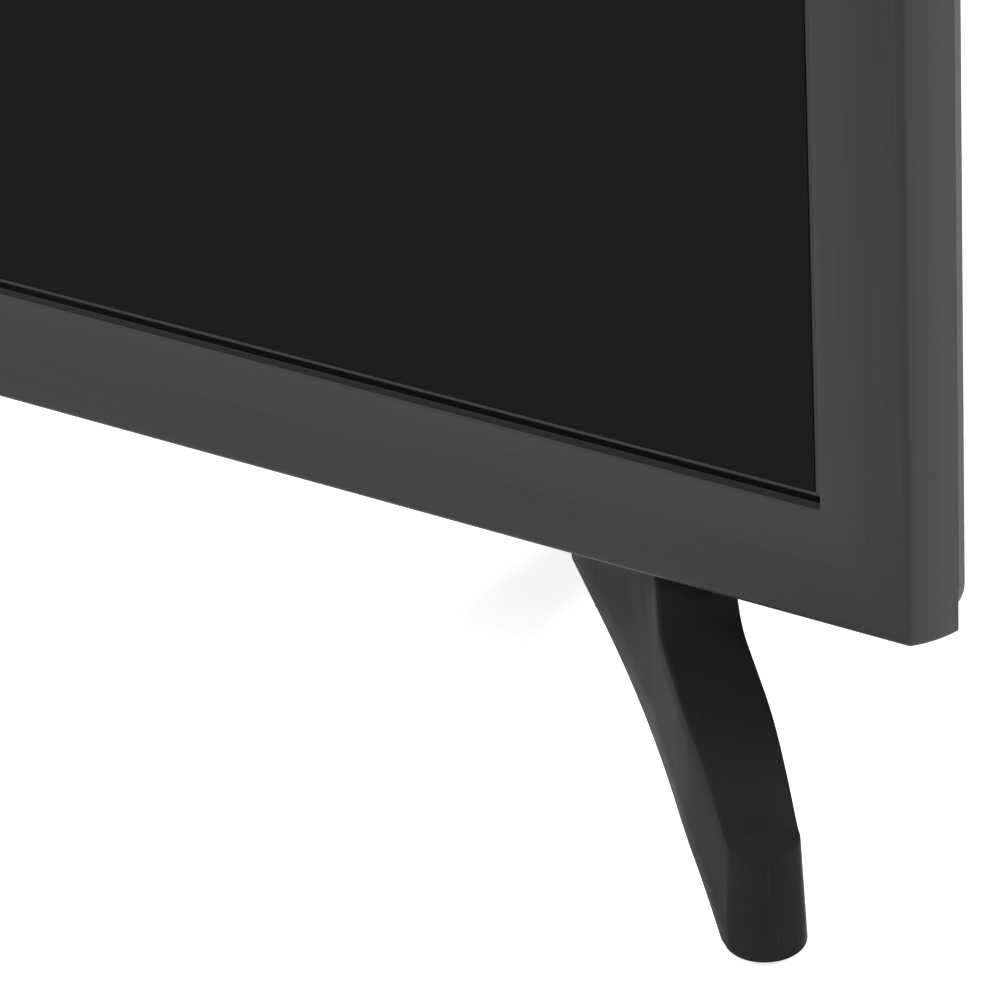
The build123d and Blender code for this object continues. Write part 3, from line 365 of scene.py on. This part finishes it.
def bent_line(sizes, bend):
    """Line from the front toe to the rear toe: start and end of its bend, its length, and a tracer.

    The heading turns evenly through the bend, and the place is the running sum of the steps. The
    tracer gives places and headings at given distances.
    """
    turn = sizes.splay
    start = sizes.front - bend * tan(turn / 2)
    end = start + bend * turn
    total = end + sizes.rear - bend * tan(turn / 2)
    fine = np.linspace(0, total, 3001)
    heading = np.interp(fine, [start, end], [pi / 2 + turn, pi / 2])
    mid = (heading[1:] + heading[:-1]) / 2
    toe = (FOOT_HIGH.x - sizes.toe, FOOT_LOW.y + sizes.toe)
    place = [first + np.concatenate([[0], np.cumsum(part(mid) * fine[1])]) for first, part in
             zip(toe, (np.cos, np.sin))]

    def tracer(run):
        return np.stack([np.interp(run, fine, axis) for axis in place], -1), np.interp(run, fine, heading)

    return start, end, total, tracer


def foot_points(sizes):
    """Skin of one foot as a grid: rows from the underside up the flanks to the top, columns round it.

    The outline lies beside a bent line at the half thickness and is round at both toes. The outer
    flank has a line of its own with a tighter bend. A flank leans in by the draft. The top follows
    a softened polyline, level over each toe, and is crowned across near the nose. The underside
    rises from each toe as one less the remaining share of the run to the arch's power.
    """
    s = sizes
    bend_start, bend_end, total, inner_line = bent_line(s, s.bend)
    knee_start, knee_end, knee_total, outer_line = bent_line(s, s.knee)
    nose = np.array(NOSE) * MM + (0, s.lip)
    rear_nose = nose[::-1] * (-1, 1) + (total, 0)
    neck = np.array(NECK) * MM
    outline = np.array([(-s.toe, s.lip), *nose, *neck, (bend_end, HUB_HEIGHT), *rear_nose,
                        (total + s.toe, s.lip)])
    sharp, soft = softened(outline, NOSE_REACH), softened(outline, NECK_REACH)
    top_line = np.where((sharp[:, :1] < s.thicken) | (sharp[:, :1] > total - s.thicken), sharp, soft)
    turns = np.linalg.norm(np.diff(top_line, 2, axis=0), axis=1) > 1e-6
    keep = np.concatenate([[0], np.flatnonzero(turns) + 1, np.arange(0, len(top_line), 12)])
    middle = top_line[np.unique(keep)]
    inside = middle[(middle[:, 0] > 0.6 * MM) & (middle[:, 0] < total - 0.6 * MM)]
    ends = s.toe * np.cos(np.linspace(0, pi / 2, 12))
    stations = np.concatenate([-ends, inside[:, 0], (total + ends)[::-1]])
    slope_x, slope_z = top_line[:, 0], top_line[:, 1]
    height = np.concatenate([np.interp(-ends, slope_x, slope_z), inside[:, 1],
                             np.interp((total + ends)[::-1], slope_x, slope_z)])

    on_line = np.clip(stations, 0, total)
    on_knee = np.interp(on_line, [0, bend_start, bend_end, total], [0, knee_start, knee_end, knee_total])
    half = np.interp(stations, [0, s.thicken, bend_start, bend_end, total - s.thicken, total],
                     [s.toe, s.half, s.half, s.rear_half, s.rear_half, s.toe])
    past = stations - on_line
    lateral = np.sqrt(np.maximum(1 - (past / s.toe) ** 2, 0))

    front_share = np.clip((stations - s.flat) / (s.arch_run - s.flat), 0, 1)
    rear_share = np.clip((total - stations - s.flat) / (s.rear - s.flat), 0, 1)
    low = s.sole + s.arch * (1 - (1 - np.minimum(front_share, rear_share)) ** ARCH_POWER)
    low_slope = np.gradient(low, stations + np.arange(len(stations)) * 1e-9)
    top_slope = np.gradient(np.stack([stations, height], -1), axis=0)

    columns = []
    for side, (line, ahead) in ((1, outer_line(on_knee)), (-1, inner_line(on_line))):
        forward = np.stack([np.cos(ahead), np.sin(ahead)], -1)
        left = np.stack([-np.sin(ahead), np.cos(ahead)], -1)
        normal = forward * (past / s.toe)[:, None] + side * left * lateral[:, None]
        base = line + half[:, None] * normal
        wall = np.concatenate([unit(normal), np.full((len(base), 1), tan(s.draft))], -1)
        top_normal = unit(np.concatenate([-forward * top_slope[:, 1:], top_slope[:, :1]], -1))
        low_normal = -unit(np.concatenate([-forward * low_slope[:, None], np.ones((len(low), 1))], -1))
        ridge_xy = base - unit(normal) * (height * tan(s.draft))[:, None]
        ridge = np.concatenate([ridge_xy, height[:, None]], -1)
        ridge[:, 2] = np.minimum(ridge[:, 2], underside(ridge[:, 1]) - s.gap)
        sole_xy = base - unit(normal) * (low * tan(s.draft))[:, None]
        sole = np.concatenate([sole_xy, low[:, None]], -1)
        upper = edge_rows(ridge, unit(wall), top_normal, s.edge)
        lower = edge_rows(sole, unit(wall), low_normal, s.low_edge, 4)[::-1]
        share = np.linspace(0, 1, 6)[1:-1, None, None]
        flank = lower[-1] + (upper[0] - lower[-1]) * share
        columns.append(np.concatenate([lower, flank, upper]))
    both = np.concatenate([columns[0], columns[1][:, ::-1]], axis=1)
    swapped = both[:, ::-1]
    rows = [both[0] + (swapped[0] - both[0]) * 0.5, *both]
    near_nose = sum(np.exp(-((run - CROWN_PLACE) / CROWN_WIDTH) ** 2) for run in (stations, total - stations))
    lift = s.crown * np.concatenate([near_nose, near_nose[::-1]])[:, None] * np.array([0, 0, 1])
    rows += [both[-1] + (swapped[-1] - both[-1]) * share + lift * 4 * share * (1 - share)
             for share in (0.06, 0.15, 0.3, 0.5)]
    return np.stack(rows)


# Finishes


class Finish:
    """A material under construction: one shader, fed by patterns on the object's own coordinates."""

    def __init__(self, name, base, roughness, **inputs):
        self.material = bpy.data.materials.new(name)
        self.material.use_nodes = True
        tree = self.material.node_tree
        self.nodes, self.links = tree.nodes, tree.links
        self.shader = self.nodes["Principled BSDF"]
        self.base = (*base, 1.0)
        self.shader.inputs["Base Color"].default_value = self.base
        self.shader.inputs["Roughness"].default_value = roughness
        for key, value in inputs.items():
            self.shader.inputs[key.replace("_", " ")].default_value = value
        self.place = self.node("TexCoord").outputs["Object"]
        self.tinted = None
        self.bumped = None

    def node(self, kind, inputs=None, **settings):
        """Add a node, set its options, and set or link its inputs."""
        new = self.nodes.new("ShaderNode" + kind)
        for key, value in settings.items():
            setattr(new, key, value)
        for key, value in (inputs or {}).items():
            if isinstance(value, bpy.types.NodeSocket):
                self.links.new(value, new.inputs[key])
            else:
                new.inputs[key].default_value = value
        return new

    def mapped(self, stretch=(1, 1, 1), turn=(0, 0, 0), place=None):
        """The coordinates, turned, with each axis stretched so that a pattern is longer along it."""
        scale = [1 / value for value in stretch]
        return self.node("Mapping", {"Vector": place or self.place, "Scale": scale,
                                     "Rotation": turn}).outputs[0]

    def clouds(self, size, stretch=(1, 1, 1), detail=2.0, place=None):
        """Noise whose features are about the given size."""
        return self.node("TexNoise", {"Vector": self.mapped(stretch, place=place), "Scale": 1 / size,
                                      "Detail": detail}).outputs["Fac"]

    def cells(self, size, output="Distance"):
        """Cells of about the given size: the distance from their middles, or a colour for each."""
        return self.node("TexVoronoi", {"Vector": self.place, "Scale": 1 / size}).outputs[output]

    def ramp(self, pattern, start, end, low=0.0, high=1.0):
        """Pattern values from start to end, turned into values from low to high."""
        return self.node("MapRange", {"Value": pattern, "From Min": start, "From Max": end, "To Min": low,
                                      "To Max": high}).outputs["Result"]

    def tint(self, pattern, other):
        """Mix another colour into the base where the pattern is high."""
        mix = self.node("Mix", {0: pattern, 6: self.tinted or self.base, 7: (*other, 1.0)}, data_type="RGBA")
        self.tinted = mix.outputs[2]
        self.links.new(self.tinted, self.shader.inputs["Base Color"])
        return self

    def rough(self, pattern, low, high):
        """Let the roughness follow a pattern between two values."""
        self.links.new(self.ramp(pattern, 0.3, 0.7, low, high), self.shader.inputs["Roughness"])
        return self

    def relief(self, pattern, depth, strength=1.0):
        """Raise the surface where the pattern is high."""
        inputs = {"Height": pattern, "Distance": depth, "Strength": strength}
        if self.bumped:
            inputs["Normal"] = self.bumped
        self.bumped = self.node("Bump", inputs).outputs["Normal"]
        self.links.new(self.bumped, self.shader.inputs["Normal"])
        return self

    def dress(self, *names):
        """Give CAD nodes this finish."""
        for name in names:
            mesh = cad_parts[name].data
            mesh.materials.clear()
            mesh.materials.append(self.material)
        return self.material


def drawn_plastic(base):
    """Satin plastic with faint lines drawn along the frame, a fine grain and a little dust.

    Painted shade and light: the base colour darkens from the screen to the outer edge and lightens again
    towards the wall's back, standing in for how the light falls across the bezel.
    """
    finish = Finish("bezel_plastic", base, 0.42, Specular_IOR_Level=0.12)
    along = finish.node("UVMap", uv_map="along").outputs["UV"]
    lines = finish.clouds(0.9 * MM, (60, 1, 1), 3.0, along)
    broad = finish.clouds(5 * MM, (40, 1, 1), 1.0, along)
    grain = finish.clouds(0.12 * MM, detail=1.0)
    specks = finish.ramp(finish.cells(5 * MM), 0.03, 0.015)
    across = finish.node("SeparateXYZ", {"Vector": along}).outputs["Y"]
    # Painted shade: the face's colour darkens from 2 mm to 15 mm away from the screen.
    finish.tint(finish.ramp(across, 2 * MM, 15 * MM, 0.0, 0.5), [value * 0.4 for value in base])
    # Painted light: the wall's back half is lightened to the base colour again.
    finish.tint(finish.ramp(across, 26 * MM, 36 * MM, 0.0, 0.6), base)
    finish.tint(finish.ramp(lines, 0.35, 0.75, 0.0, 0.25), [value * 1.5 for value in base])
    finish.tint(finish.ramp(broad, 0.4, 0.7, 0.0, 0.2), [value * 0.7 for value in base])
    finish.tint(finish.ramp(specks, 0, 1, 0.0, 0.2), (0.2, 0.2, 0.2))
    finish.rough(lines, 0.38, 0.47)
    return finish.relief(grain, 0.01 * MM, 0.35).relief(lines, 0.01 * MM, 0.25).material


def textured_plastic(name, base):
    """Moulded plastic with the even pitted grain of an eroded mould."""
    finish = Finish(name, base, 0.55)
    grain = finish.clouds(0.35 * MM, detail=4.0)
    broad = finish.clouds(60 * MM, detail=2.0)
    finish.tint(finish.ramp(grain, 0.4, 0.75, 0.0, 0.5), [value * 1.5 for value in base])
    finish.tint(finish.ramp(broad, 0.4, 0.7, 0.0, 0.25), [value * 0.8 for value in base])
    return finish.rough(grain, 0.5, 0.64).relief(grain, 0.05 * MM, 0.5)


def black_plastic(base):
    """Black plastic with slight waves of the mould, dust and hair scratches.

    The specular level is far below a real plastic's, because the flanks face the glowing floor.
    """
    finish = Finish("foot_plastic", base, 0.26, Specular_IOR_Level=0.003)
    waves = finish.clouds(14 * MM, detail=1.0)
    haze = finish.clouds(7 * MM, detail=3.0)
    dust = finish.ramp(finish.cells(3 * MM), 0.05, 0.02)
    hairs = finish.ramp(finish.clouds(0.5 * MM, (1, 1, 30), 1.0), 0.66, 0.72)
    finish.tint(finish.ramp(dust, 0, 1, 0.0, 0.3), (0.12, 0.12, 0.12))
    finish.tint(finish.ramp(hairs, 0, 1, 0.0, 0.15), (0.06, 0.06, 0.06))
    finish.rough(haze, 0.22, 0.3)
    return finish.relief(waves, 0.25 * MM, 0.35).relief(hairs, 0.01 * MM, 0.2).material


def film(name, base, level):
    """Anti-glare film: a very fine haze over a near black ground, with faint wiping marks."""
    finish = Finish(name, base, 0.3, Specular_IOR_Level=level)
    haze = finish.clouds(0.2 * MM, detail=1.0)
    wiping = finish.clouds(25 * MM, (3, 1, 1), 2.0)
    finish.tint(finish.ramp(haze, 0.4, 0.7, 0.0, 0.3), [value * 1.25 for value in base])
    finish.tint(finish.ramp(wiping, 0.45, 0.7, 0.0, 0.2), [value * 1.15 for value in base])
    return finish.rough(wiping, 0.27, 0.34).relief(haze, 0.005 * MM, 0.3)


def printed_glass(base):
    """Black print behind glass, with dust and a slight streak from wiping."""
    finish = Finish("rim_glass", base, 0.08, Specular_IOR_Level=0.3)
    dust = finish.ramp(finish.cells(2.5 * MM), 0.06, 0.02)
    finish.tint(finish.ramp(dust, 0, 1, 0.0, 0.3), (0.1, 0.1, 0.1))
    return finish.rough(finish.clouds(12 * MM, (4, 1, 1)), 0.06, 0.16)


def moulded(name, base, roughness, grain=0.4 * MM, **inputs):
    """Plain moulded part: mottled colour, a soft grain and flow marks."""
    finish = Finish(name, base, roughness, **inputs)
    fine, flow = finish.clouds(grain, detail=2.0), finish.clouds(15 * MM, (1, 1, 4), 2.0)
    finish.tint(finish.ramp(flow, 0.35, 0.7, 0.0, 0.4), [value * 0.75 for value in base])
    return finish.rough(flow, roughness * 0.85, min(1.0, roughness * 1.2)).relief(fine, 0.03 * MM, 0.3)


def galvanised(name, base, spangle=6 * MM):
    """Zinc on sheet steel: angular spangles that differ in shade and gloss, with fine rolling lines."""
    finish = Finish(name, base, 0.35, Metallic=1.0)
    crystals = finish.cells(spangle, "Color")
    shade = finish.node("SeparateColor", {"Color": crystals}).outputs[0]
    rolling = finish.clouds(0.4 * MM, (40, 1, 1), 1.0)
    finish.tint(finish.ramp(shade, 0.0, 1.0, 0.0, 0.7), [value * 0.72 for value in base])
    return finish.rough(shade, 0.28, 0.46).relief(rolling, 0.01 * MM, 0.3)


def plated(name, base, roughness):
    """Plated screw or nut: turned rings of tool marks and worn, brighter high spots."""
    finish = Finish(name, base, roughness, Metallic=1.0)
    wear = finish.clouds(1.2 * MM, detail=3.0)
    tool = finish.clouds(0.15 * MM, (1, 6, 1), 1.0)
    worn = [min(1.0, value * 1.6 + 0.03) for value in base]
    finish.tint(finish.ramp(wear, 0.55, 0.75, 0.0, 0.5), worn)
    return finish.rough(wear, roughness * 0.8, roughness * 1.3).relief(tool, 0.01 * MM, 0.4)


def solder_mask():
    """Green mask over copper: darker gaps between tracks laid out like bricks, and tinned pads."""
    finish = Finish("green_board", (0.010, 0.075, 0.028), 0.32)
    flat = finish.mapped(turn=(radians(90), 0, 0))
    layout = {"Vector": flat, "Scale": 120.0, "Mortar Size": 0.012, "Brick Width": 0.9, "Row Height": 0.16,
              "Color1": (1, 1, 1, 1), "Color2": (0.4, 0.4, 0.4, 1), "Mortar": (0, 0, 0, 1)}
    tracks = finish.node("TexBrick", layout).outputs["Color"]
    pads = finish.ramp(finish.cells(2.4 * MM), 0.2, 0.16)
    finish.tint(finish.ramp(tracks, 0.0, 1.0, 0.0, 0.8), (0.018, 0.16, 0.055))
    finish.tint(pads, (0.62, 0.6, 0.55))
    return finish.rough(finish.clouds(3 * MM), 0.26, 0.4).relief(tracks, 0.035 * MM, 0.6)


def jacket(name, base, other, pitch, roughness=0.4):
    """Flat cable: parallel conductors that show through its jacket as raised stripes."""
    finish = Finish(name, base, roughness)
    stripes = finish.node("TexWave", {"Vector": finish.place, "Scale": 0.5 / pitch, "Distortion": 0.0},
                          wave_type="BANDS", bands_direction="X").outputs["Fac"]
    finish.tint(finish.ramp(stripes, 0.45, 0.6), other)
    finish.rough(finish.clouds(4 * MM), roughness * 0.8, roughness * 1.2)
    return finish.relief(stripes, 0.05 * MM, 0.5)


def by_place(name, bands, roughness):
    """Plastic whose colour steps at given places across the set, with a soft grain."""
    finish = Finish(name, bands[0][1], roughness)
    where = finish.node("SeparateXYZ", {"Vector": finish.place}).outputs["X"]
    for start, shade in bands[1:]:
        finish.tint(finish.node("Math", {0: where, 1: start}, operation="GREATER_THAN").outputs[0], shade)
    flow = finish.clouds(3 * MM)
    finish.tint(finish.ramp(flow, 0.4, 0.8, 0.0, 0.12), (0.02, 0.02, 0.02))
    finish.rough(flow, roughness * 0.8, roughness * 1.2)
    return finish.relief(finish.clouds(0.3 * MM), 0.02 * MM, 0.3)


def pressed_paper():
    """Loudspeaker paper: tangled fibres in a dark pulp."""
    finish = Finish("cone_paper", (0.022, 0.021, 0.02), 0.85)
    fibres = finish.clouds(0.5 * MM, (3, 1, 1), 5.0)
    finish.tint(finish.ramp(fibres, 0.5, 0.8, 0.0, 0.6), (0.07, 0.066, 0.06))
    return finish.rough(fibres, 0.78, 0.95).relief(fibres, 0.12 * MM, 0.8)


def extruded():
    """Extruded aluminium: long drawn lines, slightly darker patches."""
    finish = Finish("sink_aluminium", (0.62, 0.63, 0.64), 0.38, Metallic=1.0)
    lines, patches = finish.clouds(0.25 * MM, (1, 1, 60), 1.0), finish.clouds(12 * MM)
    finish.tint(finish.ramp(patches, 0.4, 0.7, 0.0, 0.5), (0.48, 0.49, 0.5))
    return finish.rough(lines, 0.3, 0.48).relief(lines, 0.015 * MM, 0.5)


def light_strip():
    """White ink on aluminium strip, with a dotted row of copper pads."""
    finish = Finish("led_aluminium", (0.8, 0.8, 0.79), 0.5)
    pads = finish.ramp(finish.cells(6 * MM), 0.18, 0.14)
    finish.tint(pads, (0.55, 0.4, 0.25))
    return finish.rough(finish.clouds(8 * MM), 0.42, 0.58).relief(finish.clouds(0.5 * MM), 0.02 * MM, 0.3)


# Operators


def looks(context):
    """The scene's settings."""
    return context.scene.television_looks


class TELEVISION_OT_bezel(bpy.types.Operator):
    """Build the front bezel: a closed profile carried round the screen"""
    bl_idname = "television.bezel"
    bl_label = "Bezel"

    def execute(self, context):
        sizes = looks(context).bezel
        window = (PICTURE_HIGH.x + sizes.rim, PICTURE_LOW.z - sizes.rim, PICTURE_HIGH.z + sizes.rim)
        outline = (BEZEL_HIGH.x - sizes.flare, BEZEL_LOW.z + sizes.flare, BEZEL_HIGH.z - sizes.flare)
        points = frame_points(bezel_profile(sizes, BEZEL_HIGH.y - BEZEL_LOW.y), window, outline)
        faces = grid_faces(*points.shape[:2], close_rows=True, close_columns=True)
        piece = new_piece("bezel", points, faces, drawn_plastic(looks(context).colours.bezel),
                          surface_map(points, True, True), sharp=50)
        inset = Vector((SLOT_INSET, -2, SLOT_INSET)) * MM
        carved(piece, block_points(EYE_LOW + inset, EYE_HIGH - inset, SLOT_EDGE))
        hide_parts("front_bezel")
        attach(piece, "root")
        return {"FINISHED"}


class TELEVISION_OT_feet(bpy.types.Operator):
    """Build both feet: a skin carried from the front toe to the rear toe"""
    bl_idname = "television.feet"
    bl_label = "Feet"

    def execute(self, context):
        material = black_plastic(looks(context).colours.foot)
        points = foot_points(looks(context).foot)
        faces = grid_faces(*points.shape[:2], close_columns=True)
        for name, side in (("right", 1), ("left", -1)):
            piece = new_piece(f"{name}_foot", points * (side, 1, 1), faces, material, sharp=50)
            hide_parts(f"foot_{name}")
            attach(piece, "root")
        moulded("pad_rubber", (0.03, 0.03, 0.03), 0.8, 0.25 * MM).dress("foot_pads", "screen_gasket")
        return {"FINISHED"}


class TELEVISION_OT_cover(bpy.types.Operator):
    """Finish the rear cover, its screws and the wall mount's nuts"""
    bl_idname = "television.cover"
    bl_label = "Rear cover"

    def execute(self, context):
        textured_plastic("cover_plastic", looks(context).colours.cover).dress("rear_cover")
        plated("screw_steel", (0.05, 0.05, 0.055), 0.35).dress("cover_screws", "foot_screws")
        plated("bright_screw", (0.6, 0.6, 0.6), 0.28).dress("board_screws", "mount_nuts")
        return {"FINISHED"}


class TELEVISION_OT_screen(bpy.types.Operator):
    """Finish the layers of the liquid crystal panel and its light box"""
    bl_idname = "television.screen"
    bl_label = "Screen"

    def execute(self, context):
        colours = looks(context).colours
        film("dark_film", colours.screen, 0.04).dress("front_polariser", "rear_polariser")
        film("eye_film", (0.02, 0.004, 0.005), 0.5).dress("infrared_window")
        printed_glass(colours.rim).dress("filter_glass", "cell_glass")
        moulded("frame_plastic", (0.02, 0.02, 0.02), 0.5).dress("mid_frame", "speaker_boxes")
        moulded("white_plastic", (0.82, 0.82, 0.81), 0.45, 0.3 * MM).dress(
            "optical_sheets", "diffuser_plate", "reflector_sheet", "diffuser_supports")
        moulded("lens_plastic", (0.85, 0.86, 0.88), 0.12, 0.6 * MM,
                Transmission_Weight=0.8).dress("led_lenses")
        light_strip().dress("led_strips")
        galvanised("zinc_steel", (0.62, 0.63, 0.64)).dress("back_plate", "terminal_plates", "foot_brackets",
                                                           "tuner", "network_socket")
        return {"FINISHED"}


class TELEVISION_OT_boards(bpy.types.Operator):
    """Finish the boards and what stands on them"""
    bl_idname = "television.boards"
    bl_label = "Boards"

    def execute(self, context):
        solder_mask().dress("main_board", "power_board", "timing_board", "source_boards", "key_board",
                            "infrared_board")
        jacket("flex_film", (0.45, 0.24, 0.06), (0.6, 0.36, 0.12), 0.4 * MM).dress("source_flexes")
        jacket("ribbon_plastic", (0.72, 0.72, 0.7), (0.6, 0.55, 0.45), 1 * MM).dress("timing_ribbons",
                                                                                    "signal_ribbon")
        moulded("header_plastic", (0.75, 0.73, 0.66), 0.45).dress("board_headers")
        moulded("chip_resin", (0.018, 0.018, 0.018), 0.55, 0.15 * MM).dress("main_chips")
        moulded("core_ferrite", (0.05, 0.048, 0.046), 0.6, 0.5 * MM).dress("transformers")
        extruded().dress("main_heat_sink", "power_heat_sinks")
        jacket("can_sleeve", (0.02, 0.022, 0.05), (0.3, 0.31, 0.33), 24 * MM, 0.3).dress("bulk_capacitors")
        return {"FINISHED"}


class TELEVISION_OT_sockets(bpy.types.Operator):
    """Finish the sockets and the mains inlet"""
    bl_idname = "television.sockets"
    bl_label = "Sockets"

    def execute(self, context):
        galvanised("shell_steel", (0.7, 0.7, 0.69), 2 * MM).dress("hdmi_sockets", "usb_socket")
        moulded("socket_plastic", (0.018, 0.018, 0.018), 0.4).dress("headphone_socket", "optical_socket",
                                                                   "mains_inlet", "key_switches")
        low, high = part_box("av_sockets")
        third = (high.x - low.x) / 3
        by_place("av_plastic", ((0, (0.65, 0.42, 0.02)), (low.x + third, (0.75, 0.75, 0.73)),
                                (low.x + 2 * third, (0.5, 0.02, 0.02))), 0.35).dress("av_sockets")
        return {"FINISHED"}


class TELEVISION_OT_sound(bpy.types.Operator):
    """Finish the loudspeakers and all leads"""
    bl_idname = "television.sound"
    bl_label = "Loudspeakers and leads"

    def execute(self, context):
        pressed_paper().dress("speaker_cones")
        low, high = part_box("mains_leads")
        by_place("wire_sleeve", ((0, (0.02, 0.08, 0.35)), ((low.x + high.x) / 2, (0.2, 0.08, 0.03)),
                                 (-0.1, (0.03, 0.03, 0.03))), 0.45).dress("mains_leads", "speaker_leads")
        return {"FINISHED"}


class TELEVISION_OT_buttons(bpy.types.Operator):
    """Finish the push buttons"""
    bl_idname = "television.buttons"
    bl_label = "Buttons"

    def execute(self, context):
        names = [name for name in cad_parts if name.endswith("_button")]
        moulded("button_plastic", (0.03, 0.03, 0.031), 0.4, 0.2 * MM).dress(*names)
        return {"FINISHED"}


class TELEVISION_OT_stage(bpy.types.Operator):
    """Lay the floor, hang the lights and set the camera"""
    bl_idname = "television.stage"
    bl_label = "Stage"

    def execute(self, context):
        stage, colours = looks(context).stage, looks(context).colours
        half = stage.floor
        points = np.array([(-half, -half, 0), (half, -half, 0), (half, half, 0), (-half, half, 0)], float)
        ground = Finish("floor_paper", colours.floor, 0.9, Specular_IOR_Level=0.0,
                        Emission_Color=(1, 1, 1, 1), Emission_Strength=stage.glow)
        paper = ground.clouds(2 * MM, detail=3.0)
        ground.tint(ground.ramp(paper, 0.4, 0.7, 0.0, 0.1), [value * 0.98 for value in colours.floor])
        floor = new_piece("floor", points, np.array([[0, 1, 2, 3]]), ground.material)

        scene = context.scene
        scene.view_settings.view_transform = "Standard"
        scene.world = bpy.data.worlds.new("surroundings")
        scene.world.use_nodes = True
        air = scene.world.node_tree.nodes["Background"]
        air.inputs["Color"].default_value = (*colours.air, 1.0)
        air.inputs["Strength"].default_value = stage.air
        lights = (("left_light", (-0.9, -1.05, 1.7), (0.3, 0.0, 0.1), (1.1, 0.9), stage.left),
                  ("right_light", (1.8, 0.5, 1.8), (0.3, 0.0, 0.1), (1.0, 0.8), stage.right),
                  ("rear_light", (1.3, 1.7, 0.35), (0.35, 0.0, 0.2), (1.0, 0.5), stage.rear))
        for name, place, aim, size, watts in lights:
            lamp = bpy.data.lights.new(name, "AREA")
            lamp.shape, lamp.size, lamp.size_y, lamp.energy = "RECTANGLE", *size, watts
            light = bpy.data.objects.new(name, lamp)
            light.location = place
            light.rotation_euler = (Vector(aim) - Vector(place)).to_track_quat("-Z", "Y").to_euler()
            scene.collection.objects.link(light)
        self.camera(scene, stage.lens)
        return {"FINISHED"}

    def camera(self, scene, lens):
        """Camera above and to the right of the set, close to its lower right corner.

        The view's axes are the world's, turned by an azimuth and an elevation, then rolled. The
        place is the bezel's lower right front corner less the corner's distances along the axes.
        """
        azimuth, elevation, roll = 0.59108, 0.52138, -0.05755
        back = Vector((sin(azimuth) * cos(elevation), -cos(azimuth) * cos(elevation), sin(elevation)))
        level = (-back).cross(Vector((0, 0, 1))).normalized()
        up = level.cross(-back)
        right = cos(roll) * level + sin(roll) * up
        up = -sin(roll) * level + cos(roll) * up
        flare = looks(bpy.context).bezel.flare
        corner = Vector((BEZEL_HIGH.x - flare, BEZEL_LOW.y, BEZEL_LOW.z + flare))
        view = bpy.data.cameras.new("camera")
        view.lens, view.sensor_width, view.sensor_fit = lens, 36.0, "HORIZONTAL"
        eye = bpy.data.objects.new("camera", view)
        turn = Matrix((right, up, back)).transposed().to_4x4()
        place = corner - (0.068382 * right - 0.025425 * up - 0.884043 * back)
        eye.matrix_world = Matrix.Translation(place) @ turn
        scene.collection.objects.link(eye)
        scene.camera = eye


class TELEVISION_PT_looks(bpy.types.Panel):
    """Lists the settings and the operators"""
    bl_label = "Television"
    bl_idname = "TELEVISION_PT_looks"
    bl_space_type = "VIEW_3D"
    bl_region_type = "UI"
    bl_category = "Television"

    def draw(self, context):
        for group in ("bezel", "foot", "colours", "stage"):
            box = self.layout.box()
            box.label(text=group.capitalize())
            settings = getattr(looks(context), group)
            for name in settings.__annotations__:
                box.prop(settings, name)
        for step in STEPS:
            self.layout.operator(step.bl_idname)


STEPS = (TELEVISION_OT_bezel, TELEVISION_OT_feet, TELEVISION_OT_cover, TELEVISION_OT_screen,
         TELEVISION_OT_boards, TELEVISION_OT_sockets, TELEVISION_OT_sound, TELEVISION_OT_buttons,
         TELEVISION_OT_stage)
CLASSES = (BezelSizes, FootSizes, Colours, StageSizes, TelevisionLooks, *STEPS,
           TELEVISION_PT_looks)


def register():
    """Add the classes and the scene's settings."""
    for item in CLASSES:
        bpy.utils.register_class(item)
    bpy.types.Scene.television_looks = PointerProperty(type=TelevisionLooks)


def unregister():
    """Remove them again."""
    del bpy.types.Scene.television_looks
    for item in reversed(CLASSES):
        bpy.utils.unregister_class(item)


def main():
    """Build everything."""
    register()
    for step in STEPS:
        group, name = step.bl_idname.split(".")
        getattr(getattr(bpy.ops, group), name)()


if __name__ == "__main__":
    main()
